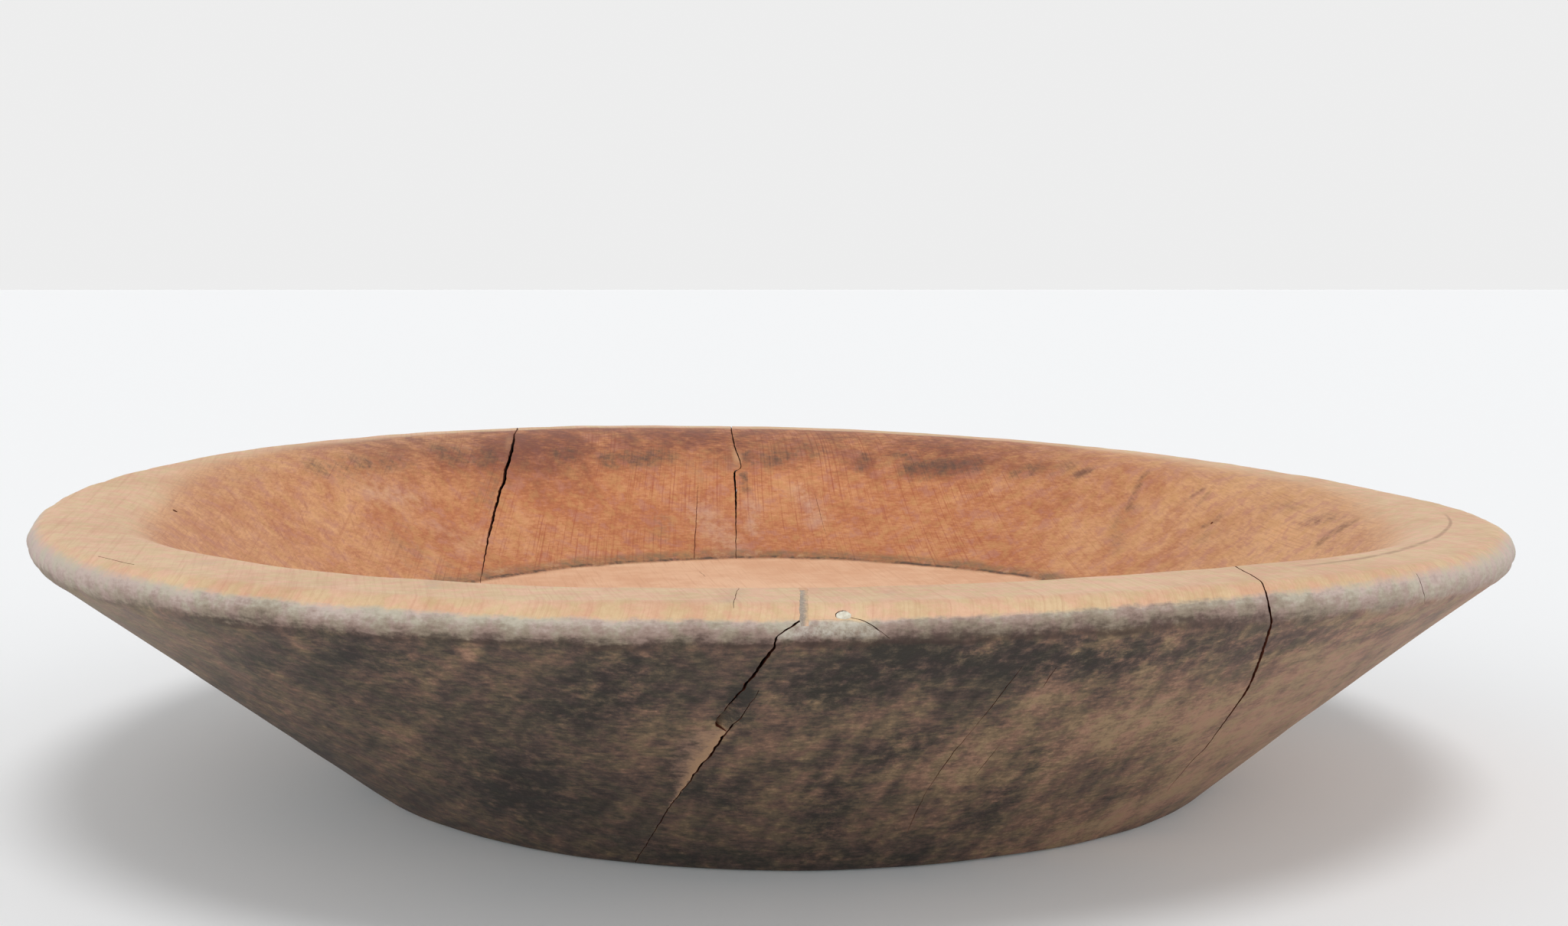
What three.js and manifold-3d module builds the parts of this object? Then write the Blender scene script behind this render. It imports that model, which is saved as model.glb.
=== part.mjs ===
// A large dough bowl hewn from one block of wood, warped out of round and split along the grain.
// Millimetres and degrees, +Z up, +X right and -Y front. The origin is the middle of the flat foot.

import * as THREE from 'three';
import { mergeVertices } from 'three/addons/utils/BufferGeometryUtils.js';
import Module from 'manifold-3d';

// Rim plan: an oval, its long axis turned a little off +Y, with the swells of hand work
const rimHalfWide = 230;
const rimHalfLong = 248;
const rimTurn = -10.7;
const rimSwells = [
  { lobes: 3, size: 4.8, toward: -25.6 },
  { lobes: 4, size: 2.2, toward: -24.7 },
];

// Rim height at the middle of its warp, and the waves that drying put into it
const rimHeight = 86.9;
const rimWaves = [
  { lobes: 1, size: 4.1, toward: 193 },
  { lobes: 2, size: 1.8, toward: 119.5 },
];
const rimShift = -6.8; // the rim's middle lies this far along X from the foot's

// Foot: a flat oval with a small bevel at its edge
const footHalfWide = 141.3;
const footHalfLong = 150;
const footBevel = 1;

// Section through the wall
const noseRadius = 6.3; // rounded outer edge of the rim
const rimWidth = 31.7; // rim's flat top, from the outermost edge to the inner lip
const rimDip = 0.8; // the flat top falls this much towards the inside
const lipRadius = 3; // rounded inner edge of the rim
const floorThickness = 41.2;
const floorHalfWide = 138;
const wallHollow = 4; // how far the inner wall curves away from a straight line

// Splits: each path lists X and the depth below the rim, from the mouth down to the tip.
// A split that runs below the floor has a reach, how far from the middle its inner end lies.
const frontMouthX = 1;
const frontSplitUpper = {
  path: [[frontMouthX, 0], [-0.6, 2], [-5.6, 5.5], [-6, 7.9], [-10.2, 15.1], [-20.1, 31]],
  mouth: 1.6,
  tip: 0.7,
  side: -1,
};
const frontSplitLower = {
  path: [[-11, 23.4], [-16.8, 32.8], [-23.4, 44.7], [-32.9, 61.3], [-45, rimHeight]],
  mouth: 0.5,
  tip: 0.8,
  reach: 128,
  side: -1,
  startsInWall: true,
};
const rightSplit = {
  path: [[114, 0], [115.9, 8.5], [117.2, 29.2], [114.7, 42.5], [109.8, 58.1]],
  mouth: 1.2,
  tip: 0.4,
  reach: 125,
  side: -1,
};
const backLeftSplit = {
  path: [[-113.5, 0], [-116.7, 33], [-115.5, 43.5]],
  mouth: 1.5,
  tip: 0.8,
  side: 1,
};
const backSplitUpper = {
  path: [[-23.9, 0], [-19.7, 11]],
  mouth: 1.3,
  tip: 0.5,
  side: 1,
};
const backSplitLower = {
  path: [[-22.7, 9.5], [-21.2, 29.4], [-20.8, 45.2]],
  mouth: 0.6,
  tip: 0.5,
  side: 1,
  startsInWall: true,
};

// Repair at the front: a spalled sliver of the nose glued back, putty in the split, a plugged chip
const sliverAngle = -86.9; // round the rim, from +X
const sliverLength = 26;
const sliverHeight = 9;
const sliverDepth = 6;
const sliverDrop = 1.4; // its middle lies this far below the middle of the nose
const fillerWidth = 1.8;
const fillerDepth = 5;
const chipAngle = -86;
const chipLength = 3.8;
const chipHeight = 3.2;
const chipDepth = 3.4;
const chipTilt = 38; // where the chip sits on the nose, up from its outermost line
const glueGap = 0.3; // clearance round each piece of the repair

// Fineness of the facets
const stepsAround = 88;
const stepsNose = 7;
const stepsOuterWall = 3;
const stepsInnerWall = 8;
const stepsLens = 20;

const wasm = await Module();
wasm.setup();

const radians = THREE.MathUtils.degToRad;
const wallTop = rimHeight - noseRadius;
const wavesTotal = rimWaves.reduce((sum, wave) => sum + wave.size, 0);

// Sum of cosine waves round the rim at an angle in radians
function ripple(waves, angle) {
  let sum = 0;
  for (const { lobes, size, toward } of waves) {
    sum += size * Math.cos(lobes * (angle - radians(toward)));
  }
  return sum;
}

// Radius of an oval with half sizes a along X and b along Y
function ovalRadius(a, b, angle) {
  return (a * b) / Math.hypot(b * Math.cos(angle), a * Math.sin(angle));
}

// Carries a point of the round section (radius, angle, height) to its place on the warped bowl
function warp(radius, angle, height) {
  const rise = Math.min(1, height / wallTop);
  const spread = Math.min(1, radius / floorHalfWide);
  const rimOval = ovalRadius(rimHalfWide, rimHalfLong, angle - radians(rimTurn));
  const rimRadius = rimOval + ripple(rimSwells, angle);
  const footRadius = ovalRadius(footHalfWide, footHalfLong, angle);
  const scale = THREE.MathUtils.lerp(footRadius / footHalfWide, rimRadius / rimHalfWide, rise);
  return new THREE.Vector3(
    radius * scale * Math.cos(angle) + rimShift * rise,
    radius * scale * Math.sin(angle),
    height + spread * rise * rise * ripple(rimWaves, angle),
  );
}

// Section of the bowl from the middle of the foot, up the outside, over the rim and down to the floor
function bowlSection() {
  const noseMiddle = new THREE.Vector2(rimHalfWide - noseRadius, wallTop);
  const footEdge = new THREE.Vector2(footHalfWide, 0);
  const span = noseMiddle.clone().sub(footEdge);
  const wallAngle = span.angle() - Math.asin(noseRadius / span.length());
  const noseStart = wallAngle - Math.PI / 2;
  const onNose = (angle) => new THREE.Vector2(
    noseMiddle.x + noseRadius * Math.cos(angle),
    noseMiddle.y + noseRadius * Math.sin(angle),
  );
  const upWall = new THREE.Vector2(Math.cos(wallAngle), Math.sin(wallAngle));
  const wallStart = footEdge.clone().addScaledVector(upWall, footBevel);
  const wallEnd = onNose(noseStart);
  const points = [new THREE.Vector2(0, 0), new THREE.Vector2(footHalfWide - footBevel, 0)];
  for (let i = 0; i < stepsOuterWall; i += 1) {
    points.push(wallStart.clone().lerp(wallEnd, i / stepsOuterWall));
  }
  for (let i = 0; i <= stepsNose; i += 1) {
    points.push(onNose(THREE.MathUtils.lerp(noseStart, Math.PI / 2, i / stepsNose)));
  }
  const lip = new THREE.Vector2(rimHalfWide - rimWidth, rimHeight - rimDip);
  const floorEdge = new THREE.Vector2(floorHalfWide, floorThickness);
  points.push(new THREE.Vector2(lip.x + lipRadius, lip.y));
  const chord = floorEdge.clone().sub(lip);
  const outward = new THREE.Vector2(-chord.y, chord.x).normalize();
  const lipShare = lipRadius / chord.length();
  for (let i = 0; i <= stepsInnerWall; i += 1) {
    const share = THREE.MathUtils.lerp(lipShare, 1, i / stepsInnerWall);
    const hollow = wallHollow * 4 * share * (1 - share);
    points.push(lip.clone().addScaledVector(chord, share).addScaledVector(outward, hollow));
  }
  points.push(new THREE.Vector2(0, floorThickness));
  return points;
}

function solidFrom(geometry) {
  const bare = geometry.clone();
  bare.deleteAttribute('normal');
  bare.deleteAttribute('uv');
  const merged = mergeVertices(bare, 1e-4);
  return new wasm.Manifold(new wasm.Mesh({
    numProp: 3,
    vertProperties: new Float32Array(merged.attributes.position.array),
    triVerts: new Uint32Array(merged.index.array),
  }));
}

function geometryFrom(solid) {
  const mesh = solid.getMesh();
  const geometry = new THREE.BufferGeometry();
  geometry.setAttribute('position', new THREE.BufferAttribute(mesh.vertProperties, 3));
  geometry.setIndex(new THREE.BufferAttribute(mesh.triVerts, 1));
  geometry.computeVertexNormals();
  return geometry;
}

// The bowl before it split: the section turned about Z, then warped
function bowlBlank() {
  const geometry = new THREE.LatheGeometry(bowlSection(), stepsAround).rotateX(Math.PI / 2);
  const place = geometry.attributes.position;
  for (let i = 0; i < place.count; i += 1) {
    const [x, y, z] = [place.getX(i), place.getY(i), place.getZ(i)];
    const point = warp(Math.hypot(x, y), Math.atan2(y, x), z);
    place.setXYZ(i, point.x, point.y, point.z);
  }
  return solidFrom(geometry);
}

// A thin blade that follows a split's path and runs along Y, from its reach, or the middle, out past the rim
function splitBlade({ path, mouth, tip, reach = 0, side, startsInWall }, extraLeft = 0, extraRight = 0) {
  const outside = 2 * rimHalfLong;
  const depths = path.map(([, depth]) => depth);
  const [shallowest, deepest] = [depths[0], depths[depths.length - 1]];
  const knots = path.map(([x, depth]) => {
    const share = (depth - shallowest) / (deepest - shallowest);
    return { x, z: rimHeight - depth, half: THREE.MathUtils.lerp(mouth, tip, share) / 2 };
  });
  if (!startsInWall) {
    knots.unshift({ ...knots[0], z: rimHeight + 2 * wavesTotal });
  }
  const left = knots.map(({ x, z, half }) => new THREE.Vector2(x - half - extraLeft, z));
  const right = knots.map(({ x, z, half }) => new THREE.Vector2(x + half + extraRight, z));
  const outline = new THREE.Shape([...left, ...right.reverse()]);
  const geometry = new THREE.ExtrudeGeometry(outline, { depth: outside - reach, bevelEnabled: false });
  geometry.rotateX(Math.PI / 2).translate(0, side > 0 ? outside : -reach, 0);
  return solidFrom(geometry);
}

// An egg-shaped cutter on the nose of the rim, its long axis along the rim
function noseLens(angle, tilt, drop, length, depth, height, gap) {
  const turn = radians(angle);
  const out = noseRadius * (Math.cos(radians(tilt)) - 1);
  const up = noseRadius * Math.sin(radians(tilt)) - drop;
  const middle = warp(rimHalfWide + out, turn, wallTop + up);
  const geometry = new THREE.SphereGeometry(1, stepsLens, stepsLens / 2);
  geometry.rotateX(Math.PI / 2).scale(depth + gap, length / 2 + gap, height / 2 + gap);
  geometry.rotateZ(turn).translate(middle.x, middle.y, middle.z);
  return solidFrom(geometry);
}

// The mouth of the front split on top of the rim, from the inner lip to the nose
function fillerBlock(gap) {
  const front = radians(-90);
  const lipY = warp(rimHalfWide - rimWidth + lipRadius, front, rimHeight).y;
  const outerY = warp(rimHalfWide, front, wallTop).y - noseRadius;
  const top = rimHeight + 2 * wavesTotal;
  const rimTop = warp(rimHalfWide - noseRadius, front, rimHeight).z;
  const bottom = rimTop - fillerDepth - gap;
  const geometry = new THREE.BoxGeometry(fillerWidth + 2 * gap, lipY - outerY + gap, top - bottom);
  geometry.translate(frontMouthX, (lipY + outerY + gap) / 2, (top + bottom) / 2);
  return solidFrom(geometry);
}

function sliverLens(gap) {
  return noseLens(sliverAngle, 0, sliverDrop, sliverLength, sliverDepth, sliverHeight, gap);
}

function chipLens(gap) {
  return noseLens(chipAngle, chipTilt, 0, chipLength, chipDepth, chipHeight, gap);
}

const blank = bowlBlank();

// Everything left of the front split, which the sliver stops short of
const leftOfSplit = splitBlade(frontSplitUpper, sliverLength, glueGap);

const rimSliver = blank.intersect(sliverLens(0)).subtract(leftOfSplit).subtract(fillerBlock(glueGap));
const chipFiller = blank.intersect(chipLens(0)).subtract(sliverLens(glueGap));
const crackFiller = blank.intersect(fillerBlock(0)).subtract(sliverLens(glueGap));

let bowlBody = blank;
const splits = [
  frontSplitUpper, frontSplitLower, rightSplit, backLeftSplit, backSplitUpper, backSplitLower,
];
for (const split of splits) {
  bowlBody = bowlBody.subtract(splitBlade(split));
}
for (const pocket of [sliverLens(glueGap).subtract(leftOfSplit), chipLens(glueGap), fillerBlock(glueGap)]) {
  bowlBody = bowlBody.subtract(pocket);
}

const finish = (color, roughness) => new THREE.MeshStandardMaterial({ color, roughness, metalness: 0 });
const oldWood = finish(0xa8744c, 0.75);
const wornWood = finish(0xcdbcab, 0.7);
const greyPutty = finish(0xa89f98, 0.9);
const palePutty = finish(0xe4dfc8, 0.85);

function named(name, solid, material) {
  const mesh = new THREE.Mesh(geometryFrom(solid), material);
  mesh.name = name;
  return mesh;
}

const bowl = new THREE.Group();
bowl.add(
  named('bowl_body', bowlBody, oldWood),
  named('rim_sliver', rimSliver, wornWood),
  named('crack_filler', crackFiller, greyPutty),
  named('chip_filler', chipFiller, palePutty),
);

export default bowl;
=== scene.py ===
# %% [markdown]
# An old dough bowl, hewn and turned from one block of hardwood. It has dried for many years, so it is
# warped out of round, split along the grain and repaired once at the front of the rim.
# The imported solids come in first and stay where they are. Everything after them only adds looks.

# %% The frame
import math
from types import SimpleNamespace

import bmesh
import bpy
import numpy as np
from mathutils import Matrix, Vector, noise
from mathutils.bvhtree import BVHTree


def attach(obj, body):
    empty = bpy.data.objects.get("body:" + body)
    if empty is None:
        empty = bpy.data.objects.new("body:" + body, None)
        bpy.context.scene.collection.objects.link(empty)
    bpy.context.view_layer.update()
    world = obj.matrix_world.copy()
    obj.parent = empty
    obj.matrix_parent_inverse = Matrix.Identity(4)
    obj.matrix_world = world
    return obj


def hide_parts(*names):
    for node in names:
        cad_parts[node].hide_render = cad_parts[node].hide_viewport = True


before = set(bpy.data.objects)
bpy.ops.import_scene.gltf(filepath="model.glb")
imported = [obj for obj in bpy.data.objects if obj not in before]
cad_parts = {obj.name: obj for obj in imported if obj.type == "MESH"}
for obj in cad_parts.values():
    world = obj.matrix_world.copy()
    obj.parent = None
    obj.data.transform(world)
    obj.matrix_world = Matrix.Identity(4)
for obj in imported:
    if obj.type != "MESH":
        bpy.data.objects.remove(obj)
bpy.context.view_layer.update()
MM = 0.001

# %% [markdown]
# The camera stands low in front of the bowl, a little above its rim, so that the rim is a thin oval and the
# far inside wall shows over it. Its place could be guessed by eye, but a camera fitted to the outline of the
# rim and the foot gives the lens and the tilt together, and everything traced later then lands in its place.

# %% Camera
CAMERA_PLACE = (-6.8, -738.9, 173.1)
CAMERA_PITCH = 5.94
CAMERA_YAW = 0.35
CAMERA_LENS = 50.96
CAMERA_SENSOR = 36
CAMERA_NEAREST = 0.01  # metres

camera_data = bpy.data.cameras.new("camera")
camera_data.lens = CAMERA_LENS
camera_data.sensor_width = CAMERA_SENSOR
camera_data.clip_start = CAMERA_NEAREST
camera = bpy.data.objects.new("camera", camera_data)
camera.location = Vector(CAMERA_PLACE) * MM
camera.rotation_euler = (math.radians(90 - CAMERA_PITCH), 0, math.radians(-CAMERA_YAW))
bpy.context.collection.objects.link(camera)
bpy.context.scene.camera = camera
print("camera:", CAMERA_LENS, "mm lens at", CAMERA_PLACE)

# %% [markdown]
# The bowl is a turned shape, so it could be a profile on a Screw modifier. But the wood has moved since it
# was turned: the rim is an oval with swells and waves in it. So the profile is worked out as points in
# millimetres and each point is carried to its place on the warped bowl, by the same sizes as the solids.

# %% Sizes of the bowl
RIM_HALF_WIDE = 230
RIM_HALF_LONG = 248
RIM_TURN = math.radians(-10.7)
RIM_SWELLS = [(3, 4.8, -25.6), (4, 2.2, -24.7)]  # lobes, size, direction in degrees
RIM_HEIGHT = 86.9
RIM_WAVES = [(1, 4.1, 193), (2, 1.8, 119.5)]
RIM_SHIFT = -6.8
FOOT_HALF_WIDE = 141.3
FOOT_HALF_LONG = 150
FOOT_BEVEL = 1
NOSE_RADIUS = 6.3
RIM_WIDTH = 31.7
RIM_DIP = 0.8
FLOOR_THICKNESS = 41.2
FLOOR_HALF_WIDE = 138
WALL_HOLLOW = 4
WALL_TOP = RIM_HEIGHT - NOSE_RADIUS
LIP_RADIUS = 3
SOFT_LIP_RADIUS = 24  # at the back and the two ends the rim rolls softly into the hollow
UNWARP_ROUNDS = 8  # each round brings the height on the round profile nearer


def ripple(waves, angle):
    """Sum of cosine waves round the rim."""
    return sum(size * np.cos(lobes * (angle - math.radians(toward))) for lobes, size, toward in waves)


def oval(half_wide, half_long, angle):
    """Radius of an oval at an angle."""
    return half_wide * half_long / np.hypot(half_long * np.cos(angle), half_wide * np.sin(angle))


def spread_at(angle, rise):
    """How much the warp stretches the round profile, from the foot (rise 0) to the rim (rise 1)."""
    rim = oval(RIM_HALF_WIDE, RIM_HALF_LONG, angle - RIM_TURN) + ripple(RIM_SWELLS, angle)
    foot = oval(FOOT_HALF_WIDE, FOOT_HALF_LONG, angle)
    return foot / FOOT_HALF_WIDE * (1 - rise) + rim / RIM_HALF_WIDE * rise


def lift_at(radius, angle, rise):
    """How far the waves of the rim raise a point."""
    return np.minimum(1, radius / FLOOR_HALF_WIDE) * rise**2 * ripple(RIM_WAVES, angle)


def warp(radius, angle, height):
    """Carries points of the round profile to the warped bowl, in millimetres."""
    rise = np.minimum(1, height / WALL_TOP)
    reach = radius * spread_at(angle, rise)
    x = reach * np.cos(angle) + RIM_SHIFT * rise
    y = reach * np.sin(angle)
    return np.stack([x, y, height + lift_at(radius, angle, rise)], axis=-1)


def unwarp(points):
    """Radius and height on the round profile of points on or in the warped bowl."""
    x, y, z = np.moveaxis(np.asarray(points, float), -1, 0)
    height = z
    for _ in range(UNWARP_ROUNDS):
        rise = np.clip(height / WALL_TOP, 0, 1)
        angle = np.arctan2(y, x - RIM_SHIFT * rise)
        radius = np.hypot(x - RIM_SHIFT * rise, y) / spread_at(angle, rise)
        height = z - lift_at(radius, angle, rise)
    return radius, height


test = warp(np.array([200.0, 150.0]), np.array([1.0, 3.0]), np.array([60.0, 45.0]))
print("warp and back:", [np.round(part, 3).tolist() for part in unwarp(test)])

# %% [markdown]
# The profile runs from the middle of the foot, up the straight outside wall, round the nose of the rim,
# across its flat top, over the inner lip and down the hollow wall to the floor. Each stretch is a line, an
# arc or a bent line with its own number of steps, so that the nose and the lip get the finest mesh.

# %% Profile
FOOT_STEPS = 10
BEVEL_STEPS = 2
WALL_STEPS = 64
NOSE_STEPS = 22
TOP_STEPS = 14
LIP_STEPS = 12
HOLLOW_STEPS = 48
FLOOR_STEPS = 34


def stretch_to(start, end, steps):
    """Points on a line, without its last one."""
    share = np.linspace(0, 1, steps, endpoint=False)[:, None]
    return np.asarray(start) * (1 - share) + np.asarray(end) * share


def profile(lip_radius):
    """Points of the profile and the number of the point where each stretch ends."""
    nose_middle = np.array([RIM_HALF_WIDE - NOSE_RADIUS, WALL_TOP])
    foot_edge = np.array([FOOT_HALF_WIDE, 0.0])
    run = nose_middle - foot_edge
    wall_angle = math.atan2(run[1], run[0]) - math.asin(NOSE_RADIUS / np.hypot(*run))
    nose_angles = np.linspace(wall_angle - math.pi / 2, math.pi / 2, NOSE_STEPS, endpoint=False)
    nose = nose_middle + NOSE_RADIUS * np.stack([np.cos(nose_angles), np.sin(nose_angles)], axis=-1)
    wall_start = foot_edge + FOOT_BEVEL * np.array([math.cos(wall_angle), math.sin(wall_angle)])
    bevel_start = foot_edge - (FOOT_BEVEL, 0)
    top_start = nose_middle + (0, NOSE_RADIUS)
    lip = np.array([RIM_HALF_WIDE - RIM_WIDTH, RIM_HEIGHT - RIM_DIP])
    floor_edge = np.array([FLOOR_HALF_WIDE, FLOOR_THICKNESS])
    chord = floor_edge - lip
    outward = np.array([-chord[1], chord[0]]) / np.hypot(*chord)

    def hollow(share):
        share = np.asarray(share)[..., None]
        return lip + share * chord + outward * WALL_HOLLOW * 4 * share * (1 - share)

    lip_share = lip_radius / np.hypot(*chord)
    lip_start = lip + (lip_radius, RIM_DIP * lip_radius / RIM_WIDTH)
    turn = np.linspace(0, 1, LIP_STEPS, endpoint=False)[:, None]
    roll = lip_start * (1 - turn) ** 2 + 2 * lip * turn * (1 - turn) + hollow(lip_share) * turn**2
    stretches = [
        stretch_to((0, 0), bevel_start, FOOT_STEPS),
        stretch_to(bevel_start, wall_start, BEVEL_STEPS),
        stretch_to(wall_start, nose[0], WALL_STEPS),
        nose,
        stretch_to(top_start, lip_start, TOP_STEPS),
        roll,
        hollow(np.linspace(lip_share, 1, HOLLOW_STEPS, endpoint=False)),
        stretch_to(floor_edge, (0, FLOOR_THICKNESS), FLOOR_STEPS),
        np.array([[0, FLOOR_THICKNESS]]),
    ]
    return np.concatenate(stretches), np.cumsum([len(part) for part in stretches])


crisp_profile, stretch_ends = profile(LIP_RADIUS)
soft_profile, _ = profile(SOFT_LIP_RADIUS)
trip_at_point = np.concatenate([[0], np.cumsum(np.hypot(*np.diff(crisp_profile, axis=0).T))])
_, FOOT_END, WALL_END, NOSE_END, TOP_END, LIP_END, HOLLOW_END, *_ = trip_at_point[stretch_ends - 1]
print("profile:", len(crisp_profile), "points")
print("the wall ends at", round(WALL_END, 1), "mm and the hollow at", round(HOLLOW_END, 1))

# %% [markdown]
# A point's trip is the distance along the profile from the middle of the foot to it. It says which finish
# the point has: outside wall, nose, top of the rim, hollow or floor. Its depth says how far inside the wood
# it lies, which tells the walls of the splits from the worn skin. Both could be painted by hand, but here
# they are measured from where the point is, so they also hold on pieces that are cut out later.

# %% Where a point lies on the profile
POINTS_AT_ONCE = 20000  # more of them would fill the memory


def place_on_profile(points):
    """The trip and the depth of points in millimetres."""
    radius, height = unwarp(points)
    start, end = crisp_profile[:-1], crisp_profile[1:]
    run = end - start
    length = np.hypot(*run.T)
    trips, depths = [], []
    for chunk in np.array_split(np.stack([radius, height], axis=-1), max(1, len(points) // POINTS_AT_ONCE)):
        gap = chunk[:, None, :] - start
        share = np.clip((gap * run).sum(-1) / length**2, 0, 1)
        away = np.hypot(*np.moveaxis(gap - share[..., None] * run, -1, 0))
        nearest = away.argmin(axis=1)
        row = np.arange(len(chunk))
        trips.append(trip_at_point[nearest] + share[row, nearest] * length[nearest])
        depths.append(away[row, nearest])
    return np.concatenate(trips), np.concatenate(depths)


trip, _ = place_on_profile(warp(np.array([230.0]), np.array([0.5]), np.array([WALL_TOP])))
print("the outermost line of the rim has a trip of", trip.round(1), "mm")

# %% [markdown]
# Hand work and wear leave no surface true. The skin gets slow swells from the adze and the lathe, and the
# nose, which takes the knocks, gets shorter dents. Sculpting would do it too, but noise at the right sizes
# gives the same skin on each run, and it moves real vertices, so the outline of the bowl shows it.

# %% Skin of the bowl before it split
skin_wood = bpy.data.materials.new("old_wood")
split_wood = bpy.data.materials.new("split_wood")
SKIN_SLOT, SPLIT_SLOT = 0, 1
STEPS_AROUND = 760
SOFT_LIPS = [(180, 52, 1.0), (0, 50, 0.75), (95, 85, 0.8)]  # direction and span in degrees, softness
SOFT_CORE = 0.2  # share of a span that is fully soft
SEED_SHIFT = (17.3, 5.1, 9.7)  # how far each seed moves the noise
SWELLS = [(46, 0.38, 1), (17, 0.2, 2)]  # size and depth in millimetres, seed
DENTS = [(12, 0.42, 3), (4.6, 0.25, 4)]
TOOL_MARKS = [(15, 0.16, 5)]
TOOL_MARKS_FLAT = (1, 1, 3.2)  # tool marks run level, so their noise is squeezed upright
DENTS_FADE = (-4, 2)  # from before the ends of the nose to after them
TOOL_MARKS_FADE = 6


def wobble(points, size, seed):
    """Smooth noise between about -1 and 1 at points in millimetres."""
    shift = Vector([seed * part for part in SEED_SHIFT])
    return np.array([noise.noise(Vector(point) / size + shift) for point in points])


def bumps(points, layers):
    """Noise of several sizes, one on top of the other."""
    return sum(depth * wobble(points, size, seed) for size, depth, seed in layers)


def between(value, low, high):
    """0 below low, 1 above high and a smooth step between."""
    share = np.clip((value - low) / (high - low), 0, 1)
    return share * share * (3 - 2 * share)


def skin_points():
    """Rings of points of the warped bowl, one row for each angle."""
    angle = np.linspace(0, 2 * math.pi, STEPS_AROUND, endpoint=False)[:, None]
    softness = np.zeros_like(angle)
    for toward, span, most in SOFT_LIPS:
        away = np.abs((np.degrees(angle) - toward + 180) % 360 - 180)
        softness = np.maximum(softness, most * (1 - between(away, SOFT_CORE * span, span)))
    shape = crisp_profile * (1 - softness[..., None]) + soft_profile * softness[..., None]
    return warp(shape[..., 0], angle, shape[..., 1])


def wear_depth(points, trip):
    """How far hand work and wear push the skin out or in."""
    on_nose = between(trip - WALL_END, *DENTS_FADE) * (1 - between(trip - NOSE_END, *DENTS_FADE))
    on_hollow = between(trip - LIP_END, 0, TOOL_MARKS_FADE)
    tool_marks = bumps(points * TOOL_MARKS_FLAT, TOOL_MARKS)
    return bumps(points, SWELLS) + on_nose * bumps(points, DENTS) + on_hollow * tool_marks


def closed_rings(rings):
    """Faces that join rings of points round an axis, with one shared point at each end of the profile."""
    around, along = rings
    last = 1 + around * (along - 2)
    place = 1 + np.arange(around)[:, None] * (along - 2) + np.arange(along - 2)
    after = np.roll(place, -1, axis=0)
    quads = np.stack([place[:, :-1], after[:, :-1], after[:, 1:], place[:, 1:]], axis=-1).reshape(-1, 4)
    start = np.stack([np.zeros(around, int), after[:, 0], place[:, 0]], axis=-1)
    end = np.stack([place[:, -1], after[:, -1], np.full(around, last)], axis=-1)
    return quads.tolist() + start.tolist() + end.tolist()


def mesh_object(name, points, faces):
    """A Blender object from points in millimetres."""
    mesh = bpy.data.meshes.new(name)
    mesh.from_pydata((np.asarray(points) * MM).tolist(), [], faces)
    shell = bmesh.new()
    shell.from_mesh(mesh)
    bmesh.ops.recalc_face_normals(shell, faces=shell.faces)
    shell.to_mesh(mesh)
    shell.free()
    thing = bpy.data.objects.new(name, mesh)
    bpy.context.collection.objects.link(thing)
    return thing


def wooden(thing, slot):
    """Gives a mesh the two finishes of the bowl and puts all its faces in one of them."""
    thing.data.materials.append(skin_wood)
    thing.data.materials.append(split_wood)
    thing.data.polygons.foreach_set("material_index", [slot] * len(thing.data.polygons))
    return thing


def carved_skin():
    """The whole bowl as one closed mesh."""
    rings = skin_points()
    normal = np.cross(np.roll(rings, -1, axis=0) - np.roll(rings, 1, axis=0), np.gradient(rings, axis=1))
    normal /= np.maximum(np.linalg.norm(normal, axis=-1, keepdims=True), 1e-9)
    inner = rings[:, 1:-1].reshape(-1, 3)
    trip, _ = place_on_profile(inner)
    worn = inner + normal[:, 1:-1].reshape(-1, 3) * wear_depth(inner, trip)[:, None]
    worn[:, 2] = np.where(trip < FOOT_END - FOOT_BEVEL, 0, np.maximum(worn[:, 2], 0))
    points = np.concatenate([rings[:1, 0], worn, rings[:1, -1]])
    return wooden(mesh_object("bowl_skin", points, closed_rings(rings.shape[:2])), SKIN_SLOT)


blank = carved_skin()
print("skin:", len(blank.data.vertices), "vertices")

# %% [markdown]
# The splits follow the grain: the block pulled apart as it dried, so each split runs along the log and
# wanders from side to side down the wall. A dark line drawn on the skin would vanish from the side, so each
# split is cut by a thin rough blade. Its path is a few points traced down the wall, and noise makes the
# rest. Through splits go right through the wall, and fine checks only open the skin.

# %% Blades that cut the splits
BLADE_STEP = 0.5
BLADE_DEEP_STEP = 2.6
EASE_STEPS = 2
OUT_OF_THE_WOOD = 2.0  # how far a blade starts outside the skin
JAGS = [(5, 1.0), (2, 0.8), (0.9, 0.5)]  # sizes of the jags along a split in millimetres, and their shares
FRAY = 0.8
FRAY_SIZE = 1.3
FRAY_SEED = 2
MOST_FRAY = 0.5
FRAY_SHIFT = 7  # steps by which the fray of one side runs ahead of the other
SEEDS_EACH = 3  # seeds that one blade uses


def joined_sheet(first, second):
    """Faces of a closed slab between two like grids of points."""
    rows, columns = first.shape[:2]
    count = rows * columns
    place = np.arange(count).reshape(rows, columns)
    corners = [place[:-1, :-1], place[1:, :-1], place[1:, 1:], place[:-1, 1:]]
    flat = np.stack(corners, axis=-1).reshape(-1, 4)
    edge = np.concatenate([place[:-1, 0], place[-1, :-1], place[:0:-1, -1], place[0, :0:-1]])
    after = np.roll(edge, -1)
    side = np.stack([edge, edge + count, after + count, after], axis=-1)
    faces = np.concatenate([flat, flat[:, ::-1] + count, side])
    return np.concatenate([first.reshape(-1, 3), second.reshape(-1, 3)]), faces.tolist()


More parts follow.
